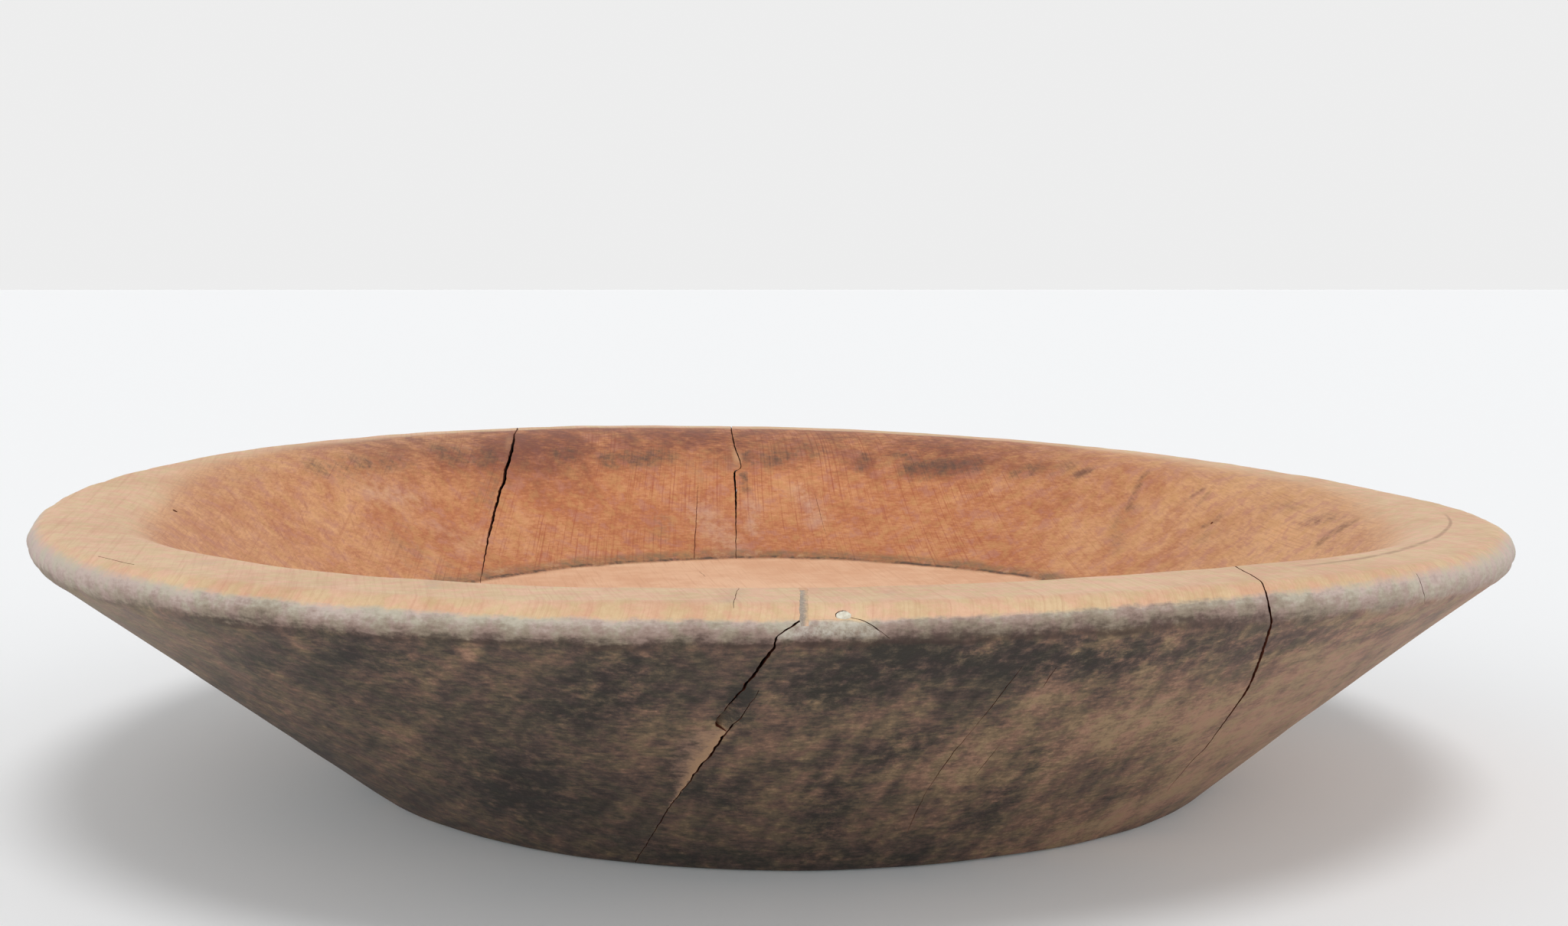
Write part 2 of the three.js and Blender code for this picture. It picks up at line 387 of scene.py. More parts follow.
def resampled(trace, step):
    """A path at even steps along its first two columns, with eased corners and the other columns in step."""
    trace = np.asarray(trace, float)
    run = np.concatenate([[0], np.cumsum(np.hypot(*np.diff(trace[:, :2], axis=0).T))])
    places = np.linspace(0, run[-1], max(2, int(run[-1] / step) + 1))
    path = np.stack([np.interp(places, run, column) for column in trace.T], axis=-1)
    longer = np.pad(path, ((EASE_STEPS, EASE_STEPS), (0, 0)), mode="reflect", reflect_type="odd")
    window = np.full(2 * EASE_STEPS + 1, 1 / (2 * EASE_STEPS + 1))
    return np.stack([np.convolve(column, window, "valid") for column in longer.T], axis=-1)


def split_blade(name, path, from_y, to_y, seed, jag, slant=0.0):
    """A rough blade along Y, or slanted. Each row of the path is X, Z and the width of the split there."""
    x, z, width = path.T
    steps = max(2, int(np.max(np.abs(to_y - from_y)) / BLADE_DEEP_STEP))
    share = np.linspace(0, 1, steps + 1)
    y = np.asarray(from_y + 0 * x)[:, None] * (1 - share) + np.asarray(to_y + 0 * x)[:, None] * share
    middle = np.stack([x[:, None] + slant * (y - y[:, :1]), y, z[:, None] + 0 * y], axis=-1)
    spots = middle.reshape(-1, 3)
    jags = [(size, part, seed + turn) for turn, (size, part) in enumerate(JAGS)]
    wander = jag * bumps(spots, jags).reshape(y.shape)
    half = width[:, None] / 2
    frayed = FRAY * wobble(spots, FRAY_SIZE, seed + FRAY_SEED).reshape(y.shape) * np.minimum(half, MOST_FRAY)
    left, right = middle.copy(), middle.copy()
    left[..., 0] += wander - half - frayed
    right[..., 0] += wander + half + np.roll(frayed, FRAY_SHIFT, axis=0)
    points, faces = joined_sheet(left, right)
    return wooden(mesh_object(name, points, faces), SPLIT_SLOT)


def carve(piece, cutter, operation="DIFFERENCE"):
    """Cuts a piece by a cutter, or keeps only what lies in both."""
    tool = piece.modifiers.new("cut", "BOOLEAN")
    tool.operation = operation
    tool.solver = "MANIFOLD"
    tool.object = cutter
    shape = bpy.data.meshes.new_from_object(piece.evaluated_get(bpy.context.evaluated_depsgraph_get()))
    piece.modifiers.clear()
    piece.data = shape
    bpy.data.objects.remove(cutter)


print("blades: a row of points every", BLADE_STEP, "mm along a split")

# %% [markdown]
# Five splits go right through the wall. The widest ones gape because the rim pulled open more than the foot.
# Each could be modelled as a gap between two halves, but a Boolean with a blade leaves the bowl one piece,
# as it is. Each point of a path has its X, its height and the width of the split there.

# %% Splits that go through the wall
ABOVE_RIM = 99
OUTSIDE = 265
SPLIT_SEED = 20
THROUGH_SPLITS = {
    "front_upper": dict(side=-1, reach=100, jag=0.5, trace=[
        (1.1, ABOVE_RIM, 0.6), (1.1, 86.2, 0.7), (-0.4, 84.9, 1.0), (-3.7, 83.1, 0.9), (-5.6, 81.4, 0.45),
        (-6, 79, 0.6), (-7.4, 77.1, 0.95), (-9, 74, 1.0), (-10.2, 71.8, 0.9), (-13.3, 66.7, 0.7),
        (-16.3, 62.1, 0.55), (-18.7, 58.7, 0.45), (-20.1, 55.9, 0.3)]),
    "front_lower": dict(side=-1, reach=128, jag=0.4, trace=[
        (-9.5, 66.5, 0.1), (-11, 63.5, 0.16), (-14, 57.4, 0.28), (-16.8, 54.1, 0.5), (-19.5, 49.2, 0.7),
        (-23.4, 42.2, 0.45), (-24.4, 40.8, 0.55), (-27.9, 34.3, 0.35), (-32.9, 25.6, 0.28),
        (-37.5, 15.3, 0.25), (-42.7, 4.1, 0.22), (-45.5, -2, 0.22)]),
    "front_right": dict(side=-1, reach=125, jag=0.2, trace=[
        (114.6, ABOVE_RIM, 0.4), (114, 87.3, 0.4), (114.5, 85.6, 0.45), (115.9, 78.4, 0.65),
        (116.7, 68.7, 0.85), (117.2, 57.7, 0.75), (116.4, 51.7, 0.6), (114.7, 44.4, 0.45),
        (111.7, 32.4, 0.28), (109.2, 29, 0.2), (104.7, 16.6, 0.08)]),
    "back_left": dict(side=1, reach=60, jag=0.25, trace=[
        (-115.2, ABOVE_RIM, 0.5), (-114.7, 89.3, 0.6), (-113.6, 86.9, 0.85), (-113.3, 83.4, 1.2),
        (-114.2, 78.7, 1.4), (-114.6, 75.8, 1.15), (-114.4, 72.4, 1.25), (-115.5, 70.3, 0.95),
        (-116.1, 65, 1.1), (-116.4, 61.8, 0.9), (-116.7, 51.6, 0.58), (-116.4, 48.2, 0.42),
        (-115.9, 44.7, 0.28), (-115.4, 42.4, 0.2)]),
    "back_middle": dict(side=1, reach=100, jag=0.16, trace=[
        (-24.4, ABOVE_RIM, 0.5), (-24.2, 86.9, 0.5), (-23.3, 85.1, 0.55), (-22.2, 80.9, 0.55),
        (-20.5, 77.3, 0.45), (-19.2, 74, 0.35), (-19.3, 72.9, 0.5), (-22.1, 72.1, 0.9),
        (-22.2, 70.2, 0.65), (-21.6, 65.5, 0.9), (-21.3, 60.8, 0.8), (-21.2, 56.3, 0.5),
        (-20.9, 47.9, 0.3), (-20.8, 42, 0.26)]),
}

paths = {name: resampled(split["trace"], BLADE_STEP) for name, split in THROUGH_SPLITS.items()}
bowl = blank.copy()
bowl.data = blank.data.copy()
bowl.name = "bowl"
bpy.context.collection.objects.link(bowl)
for turn, (name, split) in enumerate(THROUGH_SPLITS.items()):
    inner, outer = split["side"] * split["reach"], split["side"] * OUTSIDE
    carve(bowl, split_blade(name, paths[name], inner, outer, SPLIT_SEED + SEEDS_EACH * turn, split["jag"]))
print("splits:", len(THROUGH_SPLITS), "cut;", len(bowl.data.vertices), "vertices")

# %% [markdown]
# Drying also leaves fine checks, which open the skin and go no deeper, and hairs that run across the rim and
# the floor. Painted lines would be quicker, but a cut has lips that catch the light. A check follows the
# skin: rays cast at the bowl before it split say where its blade has to start and end.

# %% Fine checks that only open the skin
CHECK_JAG = 0.18
CHECK_SEED = 60
HAIR_JAG = 0.3
HAIR_SEED = 80
FINE_CHECKS = {
    "back_red": dict(inside=True, side=1, deep=0.5, trace=[
        (-37.3, 69, 0.05), (-37.4, 63, 0.2), (-37.5, 54, 0.34), (-37.6, 48, 0.4), (-37.6, 42.3, 0.3)]),
    "back_hair": dict(inside=True, side=1, deep=1.0, trace=[
        (11.8, 64, 0.04), (12.6, 61, 0.14), (14.2, 55, 0.12), (16.8, 47, 0.04)]),
    "front_long": dict(inside=False, side=-1, deep=1.4, trace=[
        (53, 71.2, 0.06), (50, 65, 0.22), (47.1, 59.1, 0.2), (43, 51, 0.06), (39, 44.2, 0.22),
        (36, 37, 0.2), (33.4, 30.6, 0.06), (31, 22, 0.18), (29.4, 14.6, 0.05)]),
    "front_short": dict(inside=False, side=-1, deep=0.9, trace=[
        (61.4, 69.8, 0.06), (60.2, 67, 0.24), (58.9, 63.6, 0.06)]),
    "front_faint": dict(inside=False, side=-1, deep=0.7, trace=[
        (50.6, 45.4, 0.05), (48, 40, 0.16), (45.5, 34.8, 0.05)]),
    "nose_right": dict(inside=False, side=-1, deep=2.2, trace=[
        (162.2, 84.2, 0.1), (163.2, 81.5, 0.22), (165.2, 75.9, 0.08)]),
    "nose_chip": dict(inside=False, side=-1, deep=1.8, trace=[
        (11.4, 85.6, 0.5), (14.5, 84.9, 0.45), (18.3, 82.4, 0.3), (20.5, 80.6, 0.12)]),
}


def skin_y(x, z, inside, side):
    """Where a line along Y meets the skin, from the hollow or from outside."""
    start = Vector((x, 0 if inside else side * 2 * OUTSIDE, z)) * MM
    heading = Vector((0, side if inside else -side, 0))
    return skin_tree.ray_cast(start, heading)[0].y / MM


def check_blade(name, inside, side, deep, trace, seed):
    """A shallow blade that follows the skin."""
    path = resampled(trace, BLADE_STEP)
    skin = np.array([skin_y(x, z, inside, side) for x, z, _ in path])
    inward = side if inside else -side
    return split_blade(name, path, skin - inward * OUT_OF_THE_WOOD, skin + inward * deep, seed, CHECK_JAG)


HAIRS = [  # inner X and Y, outer X and Y, width, height of the foot of the hair
    (-14.4, -204, -15.5, -246, 0.14, 87.5), (15.4, -236, 15.4, -244.5, 0.3, 87.2),
    (-182.7, -162.3, -168.6, -179.1, 0.34, 88.2), (-31.1, 100.7, -38, 134.1, 0.16, 41),
]


def hair_blade(inner_x, inner_y, outer_x, outer_y, width, foot, seed):
    """A blade that opens a hair of a crack on the rim or the floor."""
    heights = np.arange(ABOVE_RIM, foot, -BLADE_STEP)
    path = np.stack([0 * heights + inner_x, heights, 0 * heights + width], axis=-1)
    slant = (outer_x - inner_x) / (outer_y - inner_y)
    return split_blade("hair", path, inner_y, outer_y, seed, HAIR_JAG, slant)


skin_tree = BVHTree.FromObject(blank, bpy.context.evaluated_depsgraph_get())
for turn, (name, check) in enumerate(FINE_CHECKS.items()):
    carve(bowl, check_blade(name, seed=CHECK_SEED + SEEDS_EACH * turn, **check))
for turn, hair in enumerate(HAIRS):
    carve(bowl, hair_blade(*hair, seed=HAIR_SEED + SEEDS_EACH * turn))
print("checks:", len(FINE_CHECKS), "and", len(HAIRS), "hairs cut;", len(bowl.data.vertices), "vertices")

# %% [markdown]
# Where the front split steps sideways, a splinter has sunk between its two halves. A darker patch of colour
# would read as a stain, so it is a shallow pocket, with the upper half of the split on its left and the
# lower half on its right. Its bottom is skin and its sides are raw wood, so each face gets its own finish.

# %% Sunken splinter beside the front split
SPLINTER_TOP = 65
SPLINTER_FOOT = 54.6
SPLINTER_SHALLOW = 0.1
SPLINTER_DEEP = 1.1
SPLINTER_SLOPE = 0.5
FACES_OUT = 0.6  # a face that looks out of the pocket more than this is skin


def split_x(name, z):
    """X of a split at some heights."""
    return np.interp(-z, -paths[name][:, 1], paths[name][:, 0])


left_z = np.arange(SPLINTER_TOP, SPLINTER_FOOT, -BLADE_STEP)
left_x = split_x("front_upper", left_z)
right_z = left_z - SPLINTER_SLOPE * (split_x("front_lower", left_z) - left_x)
right_x = split_x("front_lower", right_z)
skin = np.array([skin_y(x, z, False, -1) for x, z in zip((left_x + right_x) / 2, (left_z + right_z) / 2)])
sink = np.linspace(SPLINTER_SHALLOW, SPLINTER_DEEP, len(skin))
y = np.stack([skin - OUT_OF_THE_WOOD, skin, skin + sink], axis=-1)
edges = ((left_x, left_z), (right_x, right_z))
sides = [np.stack([x[:, None] + 0 * y, y, z[:, None] + 0 * y], axis=-1) for x, z in edges]
splinter = wooden(mesh_object("splinter", *joined_sheet(*sides)), SPLIT_SLOT)
for face in splinter.data.polygons:
    face.material_index = SKIN_SLOT if abs(face.normal.y) > FACES_OUT else SPLIT_SLOT
carve(bowl, splinter)
print("splinter:", len(skin), "rows, deepest", SPLINTER_DEEP)

# %% [markdown]
# The repair sits at the front of the rim: a sliver of the nose that came off and was glued back, putty in
# the mouth of the split and a small plug in a chip. They could be modelled one by one, but then their outer
# faces would have to be matched to the worn rim. So each has a cutter: what lies in it becomes the piece.

# %% Cutters for the repair
SLIVER_ANGLE = -86.9
SLIVER_HALF = (6, 13, 4.5)
SLIVER_DROP = 1.4
SLIVER_LUMPS = 0.07
SLIVER_SEED = 31
CHIP_ANGLE = -86
CHIP_HALF = (1.6, 1.75, 0.95)
CHIP_NARROW = 0.3  # how much narrower the chip is at its top
CHIP_GAP = (0, -0.16, 0.14)  # the chip reaches past its plug there and shows as a dark line
CHIP_LUMPS = 0.1
CHIP_TILT = 38
CHIP_SEED = 32
LENS_FINENESS = 5
LENS_LUMP_SIZE = 0.45
PUTTY_X = 1
PUTTY_WIDTH = 1.8
PUTTY_DEPTH = 3
PUTTY_INNER_Y = -207
PUTTY_JAG = 0.22
PUTTY_SEED = 41
SEAT_GAP = 0.02


def ball(radius, fineness):
    """Points and faces of a round ball."""
    shell = bmesh.new()
    bmesh.ops.create_icosphere(shell, subdivisions=fineness, radius=radius)
    points = np.array([corner.co for corner in shell.verts])
    faces = [[corner.index for corner in face.verts] for face in shell.faces]
    shell.free()
    return points, faces


def nose_lens(name, angle, tilt, drop, half_sizes, lumpy, seed, grow, narrow=0.0, shift=(0, 0, 0)):
    """A lumpy lens on the nose of the rim, its long axis along the rim and its top narrower if asked."""
    turn = math.radians(angle)
    out = NOSE_RADIUS * (math.cos(math.radians(tilt)) - 1)
    up = NOSE_RADIUS * math.sin(math.radians(tilt)) - drop
    middle = warp(np.array(RIM_HALF_WIDE + out), np.array(turn), np.array(WALL_TOP + up))
    points, faces = ball(1, LENS_FINENESS)
    lumps = 1 + lumpy * wobble(points, LENS_LUMP_SIZE, seed)[:, None]
    points[:, 1] *= 1 - narrow * points[:, 2]
    points = points * lumps * (np.array(half_sizes) + grow) + shift
    spin = np.array([[math.cos(turn), -math.sin(turn), 0], [math.sin(turn), math.cos(turn), 0], [0, 0, 1]])
    return wooden(mesh_object(name, points @ spin.T + middle, faces), SPLIT_SLOT)


def sliver_lens(grow=0.0):
    size = (SLIVER_HALF, SLIVER_LUMPS, SLIVER_SEED, grow)
    return nose_lens("sliver_lens", SLIVER_ANGLE, 0, SLIVER_DROP, *size)


def chip_lens(grow=0.0, shift=(0, 0, 0)):
    size = (CHIP_HALF, CHIP_LUMPS, CHIP_SEED, grow)
    return nose_lens("chip_lens", CHIP_ANGLE, CHIP_TILT, 0, *size, CHIP_NARROW, shift)


def left_of_split():
    """A slab from the front split to the left, past the end of the sliver."""
    split = THROUGH_SPLITS["front_upper"]
    path = paths["front_upper"].copy()
    right = path[:, 0] + path[:, 2] / 2
    path[:, 2] = 2 * SLIVER_HALF[1]
    path[:, 0] = right - SLIVER_HALF[1]
    return split_blade("left_of_split", path, -split["reach"], -OUTSIDE, SPLIT_SEED, split["jag"])


def putty_block(grow=0.0):
    """A strip across the top of the rim with uneven edges."""
    depths = np.arange(ABOVE_RIM, RIM_HEIGHT - PUTTY_DEPTH - grow, -BLADE_STEP)
    path = np.stack([0 * depths + PUTTY_X, depths, 0 * depths + PUTTY_WIDTH + 2 * grow], axis=-1)
    return split_blade("putty_block", path, PUTTY_INNER_Y + grow, -OUTSIDE, PUTTY_SEED, PUTTY_JAG)


def fitted(name, cutter, *takeaways):
    """A piece of the unsplit skin inside a cutter, less what its neighbours take."""
    piece = blank.copy()
    piece.data = blank.data.copy()
    piece.name = name
    bpy.context.collection.objects.link(piece)
    carve(piece, cutter, "INTERSECT")
    for takeaway in takeaways:
        carve(piece, takeaway)
    return piece


print("repair: the sliver's cutter is", 2 * SLIVER_HALF[1], "mm long and the putty", PUTTY_WIDTH, "mm wide")

# %% [markdown]
# Each piece was fitted to the bowl, so it is what a cutter holds of the skin as it was before it split, less
# what its neighbours take. Its seat is cut by the same shape a hair larger. Cutting the seat with the piece
# itself would leave two faces in one place, and they would flicker.

# %% Sliver, putty and plug
neighbours = (left_of_split(), putty_block(SEAT_GAP), chip_lens(SEAT_GAP), chip_lens(SEAT_GAP, CHIP_GAP))
sliver = fitted("rim_sliver_glued", sliver_lens(), *neighbours)
putty = fitted("putty_strip", putty_block())
plug = fitted("chip_plug", chip_lens())
seat = sliver_lens(SEAT_GAP)
carve(seat, left_of_split())
for cutter in (seat, putty_block(SEAT_GAP), chip_lens(SEAT_GAP), chip_lens(SEAT_GAP, CHIP_GAP)):
    carve(bowl, cutter)
bpy.data.objects.remove(blank)
for piece in (bowl, sliver, putty, plug):
    print(piece.name, len(piece.data.vertices), "vertices")

# %% [markdown]
# Insects left two small round holes in the hollow. From afar two dark dots would do, but close up a hole has
# a rim and a shaded side, so each is a ball cut into the skin, with the same finish inside as the splits,
# whose colour is painted darker with depth as shade.

# %% Insect holes
INSECT_HOLES = [(-201.4, -17.9, 0.9), (157.4, 79.5, 0.6)]  # X, Y, radius
HOLE_FINENESS = 3

for x, y, radius in INSECT_HOLES:
    points, faces = ball(radius, HOLE_FINENESS)
    mouth = skin_tree.ray_cast(Vector((x, y, ABOVE_RIM)) * MM, Vector((0, 0, -1)))[0]
    carve(bowl, wooden(mesh_object("hole", points + np.array(mouth) / MM, faces), SPLIT_SLOT))
print("insect holes:", len(INSECT_HOLES))

# %% [markdown]
# Worn wood is smooth to the eye, and only the lips of the splits and the repair are crisp. A Smooth by Angle
# modifier would do this too, but the pieces are finished, so every face is shaded smooth and edges that turn
# more than a set angle are marked sharp in the mesh itself.

# %% Smooth shading
SHARP_ANGLE = math.radians(40)
for piece in (bowl, sliver, putty, plug):
    piece.data.shade_smooth()
    piece.data.set_sharp_from_angle(angle=SHARP_ANGLE)
print("sharp edges above", round(math.degrees(SHARP_ANGLE)), "degrees")

# %% [markdown]
# Age has left marks that no formula would put in the right place: stains where wet dough dried on, pale
# scuffs, and sooty or rubbed patches outside. They could be painted in Texture Paint, but here each mark is
# a short stroke between two spots, each given by its angle round the bowl and its trip along the profile.
# Every vertex keeps how strongly the strokes reach it, and the finishes break the soft strokes up later.

# %% Marks of age
STAINS = [  # from and to (angle, trip), radius in millimetres, strength
    ((66, 306), (73, 312), 7, 0.85), ((79, 306), (79.3, 312), 4, 0.85), ((57, 303), (60, 308), 6, 0.6),
    ((51, 303), (52, 306), 4, 0.6), ((73, 303), (76, 303.5), 4, 0.6), ((87, 305), (90, 311), 7, 0.55),
    ((92.9, 306), (93, 311), 3, 0.6), ((93.5, 319), (93.6, 328), 2.6, 0.6),
    ((119.6, 293), (120.2, 297), 2.6, 0.6),
    ((103, 308), (110, 311), 7, 0.6), ((114, 305), (116, 307), 6, 0.5),
    ((125, 302), (127, 311), 6, 0.6), ((86, 302), (131, 303), 11, 0.5), ((138, 303), (152, 303), 9, 0.4),
    ((54, 301), (85, 302), 8, 0.4), ((99, 318), (100, 330), 9, 0.2), ((106, 345), (107, 356), 8, 0.3),
    ((126, 318), (130, 328), 9, 0.35), ((147, 336), (150, 352), 11, 0.3), ((145, 360), (150, 366), 8, 0.3),
    ((42.5, 299), (41.6, 322), 2.4, 0.5), ((41.5, 322), (39, 345), 7, 0.35),
    ((32, 303), (33.5, 313), 2.4, 0.4), ((30.5, 306), (31, 311), 3, 0.35),
    ((25.5, 317), (26.8, 322), 3.4, 0.45), ((23, 322), (25, 328), 7, 0.3),
    ((1, 303), (1.6, 314), 5, 0.55), ((4, 301), (9, 308), 5, 0.5), ((1, 299), (8, 303), 5, 0.35),
    ((14, 301), (18, 305), 6, 0.4), ((160, 297), (172, 297), 8, 0.25),
    ((-112.3, 294), (-110.6, 283), 1.6, 0.8), ((-92, 292), (-92.4, 272), 2, 0.5),
    ((-131, 289), (-130, 285), 3, 0.5), ((-82.4, 287), (-82.8, 281), 1.4, 0.4),
]
RAW_WOOD = [
    ((94.3, 302), (94, 312), 1.4, 1.0), ((120.3, 288), (122.5, 303), 1.2, 0.6),
]
SCUFFS = [
    ((84.5, 345), (86.5, 328), 4.5, 0.7), ((97, 364), (100, 338), 7, 0.65),
    ((93.2, 336), (93.5, 352), 4, 0.7), ((141, 322), (146, 317), 7, 0.5), ((137, 350), (140, 342), 7, 0.3),
]
RUBBED = [
    ((-94, 222), (-89, 232), 8, 0.6), ((-92, 210), (-88, 216), 7, 0.6), ((-86, 222), (-81, 226), 8, 0.5),
    ((-77, 195), (-72, 235), 10, 0.6), ((-66, 207), (-56, 212), 13, 0.9), ((-60, 150), (-52, 160), 12, 0.6),
    ((-50, 195), (-43, 203), 12, 0.8), ((-118, 251), (-117.5, 256), 2.5, 0.9),
    ((-107, 252), (-106.5, 256), 3, 0.9),
    ((-120, 208), (-118, 213), 7, 0.4), ((-58, 188), (-56, 200), 8, 0.4), ((-75, 175), (-73, 190), 8, 0.4),
]
SOOT = [
    ((-92, 238), (-93.2, 225), 3.5, 1.0), ((-87, 240), (-83, 254), 10, 1.0),
    ((-80, 252), (-58, 249), 9, 1.0), ((-100, 240), (-98, 250), 9, 0.7), ((-58, 252), (-36, 249), 7, 0.8),
    ((-103, 228), (-99, 236), 9, 0.7), ((-116, 170), (-111, 186), 13, 0.8),
    ((-112, 198), (-109, 202), 8, 0.5), ((-87.5, 165), (-86.5, 188), 7, 0.7),
    ((-72.5, 168), (-72, 184), 6, 0.6), ((-82.5, 206), (-81, 212), 6, 0.7),
    ((-70, 196), (-69.5, 203), 5, 0.5), ((-88, 150), (-80, 148), 10, 0.5),
    ((-105, 150), (-95, 148), 10, 0.4), ((-126, 236), (-124, 240), 7, 0.5),
    ((-115, 250), (-112, 248), 7, 0.5), ((-96, 190), (-95, 180), 7, 0.4),
]


def spot(angle, trip):
    """The point of the skin at an angle and a trip."""
    radius = np.interp(trip, trip_at_point, crisp_profile[:, 0])
    height = np.interp(trip, trip_at_point, crisp_profile[:, 1])
    return warp(radius, np.radians(angle), height)


def reached_by(points, strokes):
    """How strongly soft strokes reach each point, from 0 to 1."""
    most = np.zeros(len(points))
    for start, end, radius, strength in strokes:
        start = spot(*start)
        run = spot(*end) - start
        share = np.clip((points - start) @ run / (run @ run), 0, 1)[:, None]
        away = np.linalg.norm(points - start - share * run, axis=-1) / radius
        most = np.maximum(most, strength * np.exp(-(away**2)))
    return most


print("strokes inside:", len(STAINS), "stains,", len(SCUFFS), "scuffs,", len(RAW_WOOD), "raw")
print("strokes outside:", len(RUBBED), "rubbed,", len(SOOT), "sooty")

# %% [markdown]
# Three more marks follow lines of their own: a line scribed on the rim, the grey band of the nose and the raw
# wood where a wedge tore off. A line finer than the mesh would break up if each vertex kept how near it is.
# So for the first two the vertices keep a number that rises steadily across the line, and the finish draws
# the line where that number passes a set value. The raw wood is wide enough to keep a plain strength.

# %% Lines on the skin
SCRIBE_ANGLES = [-60, -52, -44, -34, -27, -20, -12, -5]
SCRIBE_TRIPS = [284, 284.6, 285.5, 287.2, 286.5, 284.6, 280.7, 277.3]
SCRIBE_HALF_WIDTHS = ([-50, -30, -12], [2.2, 1.5, 0.7])  # at these angles
GREY_LOW = 259.8
GREY_TOP = 264.3
GREY_TOP_SLOPE = 0.042  # the grey climbs toward the ends of the bowl
GREY_TOP_MOST = 267.5
GREY_LOWEST_AT = -86
GREY_SPREADS_FROM = (-64, -54)  # to the right of these angles the grey reaches further down
GREY_SPREADS_BY = 1.6
TORN_FOOT = 24
TORN_FULL = 49  # height from which the torn wedge is as wide as it gets
TORN_WIDTH = 13
TORN_EDGE = 0.8
LEAST_WIDTH = 0.1


def scribed(angle, trip):
    """How far a point lies inside the line scribed on the right of the rim, in half widths of the line."""
    return (trip - np.interp(angle, SCRIBE_ANGLES, SCRIBE_TRIPS)) / np.interp(angle, *SCRIBE_HALF_WIDTHS)


def grey_share(angle, trip):
    """0 where the grey of the nose starts and 1 where it ends."""
    top = np.minimum(GREY_TOP + GREY_TOP_SLOPE * np.abs(angle - GREY_LOWEST_AT), GREY_TOP_MOST)
    low = GREY_LOW - GREY_SPREADS_BY * between(angle, *GREY_SPREADS_FROM)
    return (trip - low) / (top - low)


def torn(points, trip):
    """How strongly raw wood shows outside, left of the lower front split, where a wedge tore off."""
    x, y, z = points.T
    left = split_x("front_lower", z) - x
    splinter_foot = SPLINTER_FOOT - SPLINTER_SLOPE * np.maximum(x - left_x[-1], 0)
    wide = TORN_WIDTH * between(z, TORN_FOOT, TORN_FULL) * between(splinter_foot - z, 0, TORN_EDGE)
    shows = (y < 0) & (trip < WALL_END) & (left > 0) & (wide > 0)
    return np.where(shows, 1 - left / np.maximum(wide, LEAST_WIDTH), 0).clip(0, 1)


def keep(piece, name, values):
    """Stores one number for each vertex of a piece."""
    store = piece.data.attributes.new(name, "FLOAT", "POINT")
    store.data.foreach_set("value", np.asarray(values, np.float32))


def measure(piece):
    """Stores where each vertex lies on the profile and which marks reach it."""
    flat = np.empty(3 * len(piece.data.vertices), np.float32)
    piece.data.vertices.foreach_get("co", flat)
    points = flat.reshape(-1, 3).astype(float) / MM
    trip, depth = place_on_profile(points)
    angle = np.degrees(np.arctan2(points[:, 1], points[:, 0] - RIM_SHIFT))
    keep(piece, "trip", trip)
    keep(piece, "depth", depth)
    keep(piece, "scribed", scribed(angle, trip))
    keep(piece, "grey", grey_share(angle, trip))
    keep(piece, "torn", torn(points, trip))
    for name, strokes in dict(stain=STAINS, scuff=SCUFFS, raw=RAW_WOOD, rubbed=RUBBED, soot=SOOT).items():
        keep(piece, name, reached_by(points, strokes))


for piece in (bowl, sliver, putty, plug):
    measure(piece)
    print(piece.name, "keeps", len(piece.data.attributes), "attributes")

# %% [markdown]
# A finish is a tree of nodes. Wiring each node by hand hides what the finish does, so two small helpers let
# it be written as plain sums: a Wire is a socket that adds Math nodes when it is used in an expression, and
# a Finish adds any other node, with its settings first and then what goes into its sockets.

# %% Writing a finish as an expression
MIX_SHARE, MIX_FIRST, MIX_SECOND = 0, 6, 7  # sockets of a Mix node that mixes colours
MIX_RESULT = 2


class Wire:
    """A socket of a finish. Sums and products of wires add Math nodes."""

    def __init__(self, finish, socket):
        self.finish = finish
        self.socket = socket

    def calc(self, operation, *others):
        """A Math node whose first value is this wire."""
        return self.finish.maths(operation, self, *others)

    def __add__(self, other):
        return self.calc("ADD", other)

    def __sub__(self, other):
        return self.calc("SUBTRACT", other)

    def __rsub__(self, other):
        return self.finish.maths("SUBTRACT", other, self)

    def __mul__(self, other):
        return self.calc("MULTIPLY", other)

    def __pow__(self, other):
        return self.calc("POWER", other)

    def __abs__(self):
        return self.calc("ABSOLUTE")

    __radd__ = __add__
    __rmul__ = __mul__


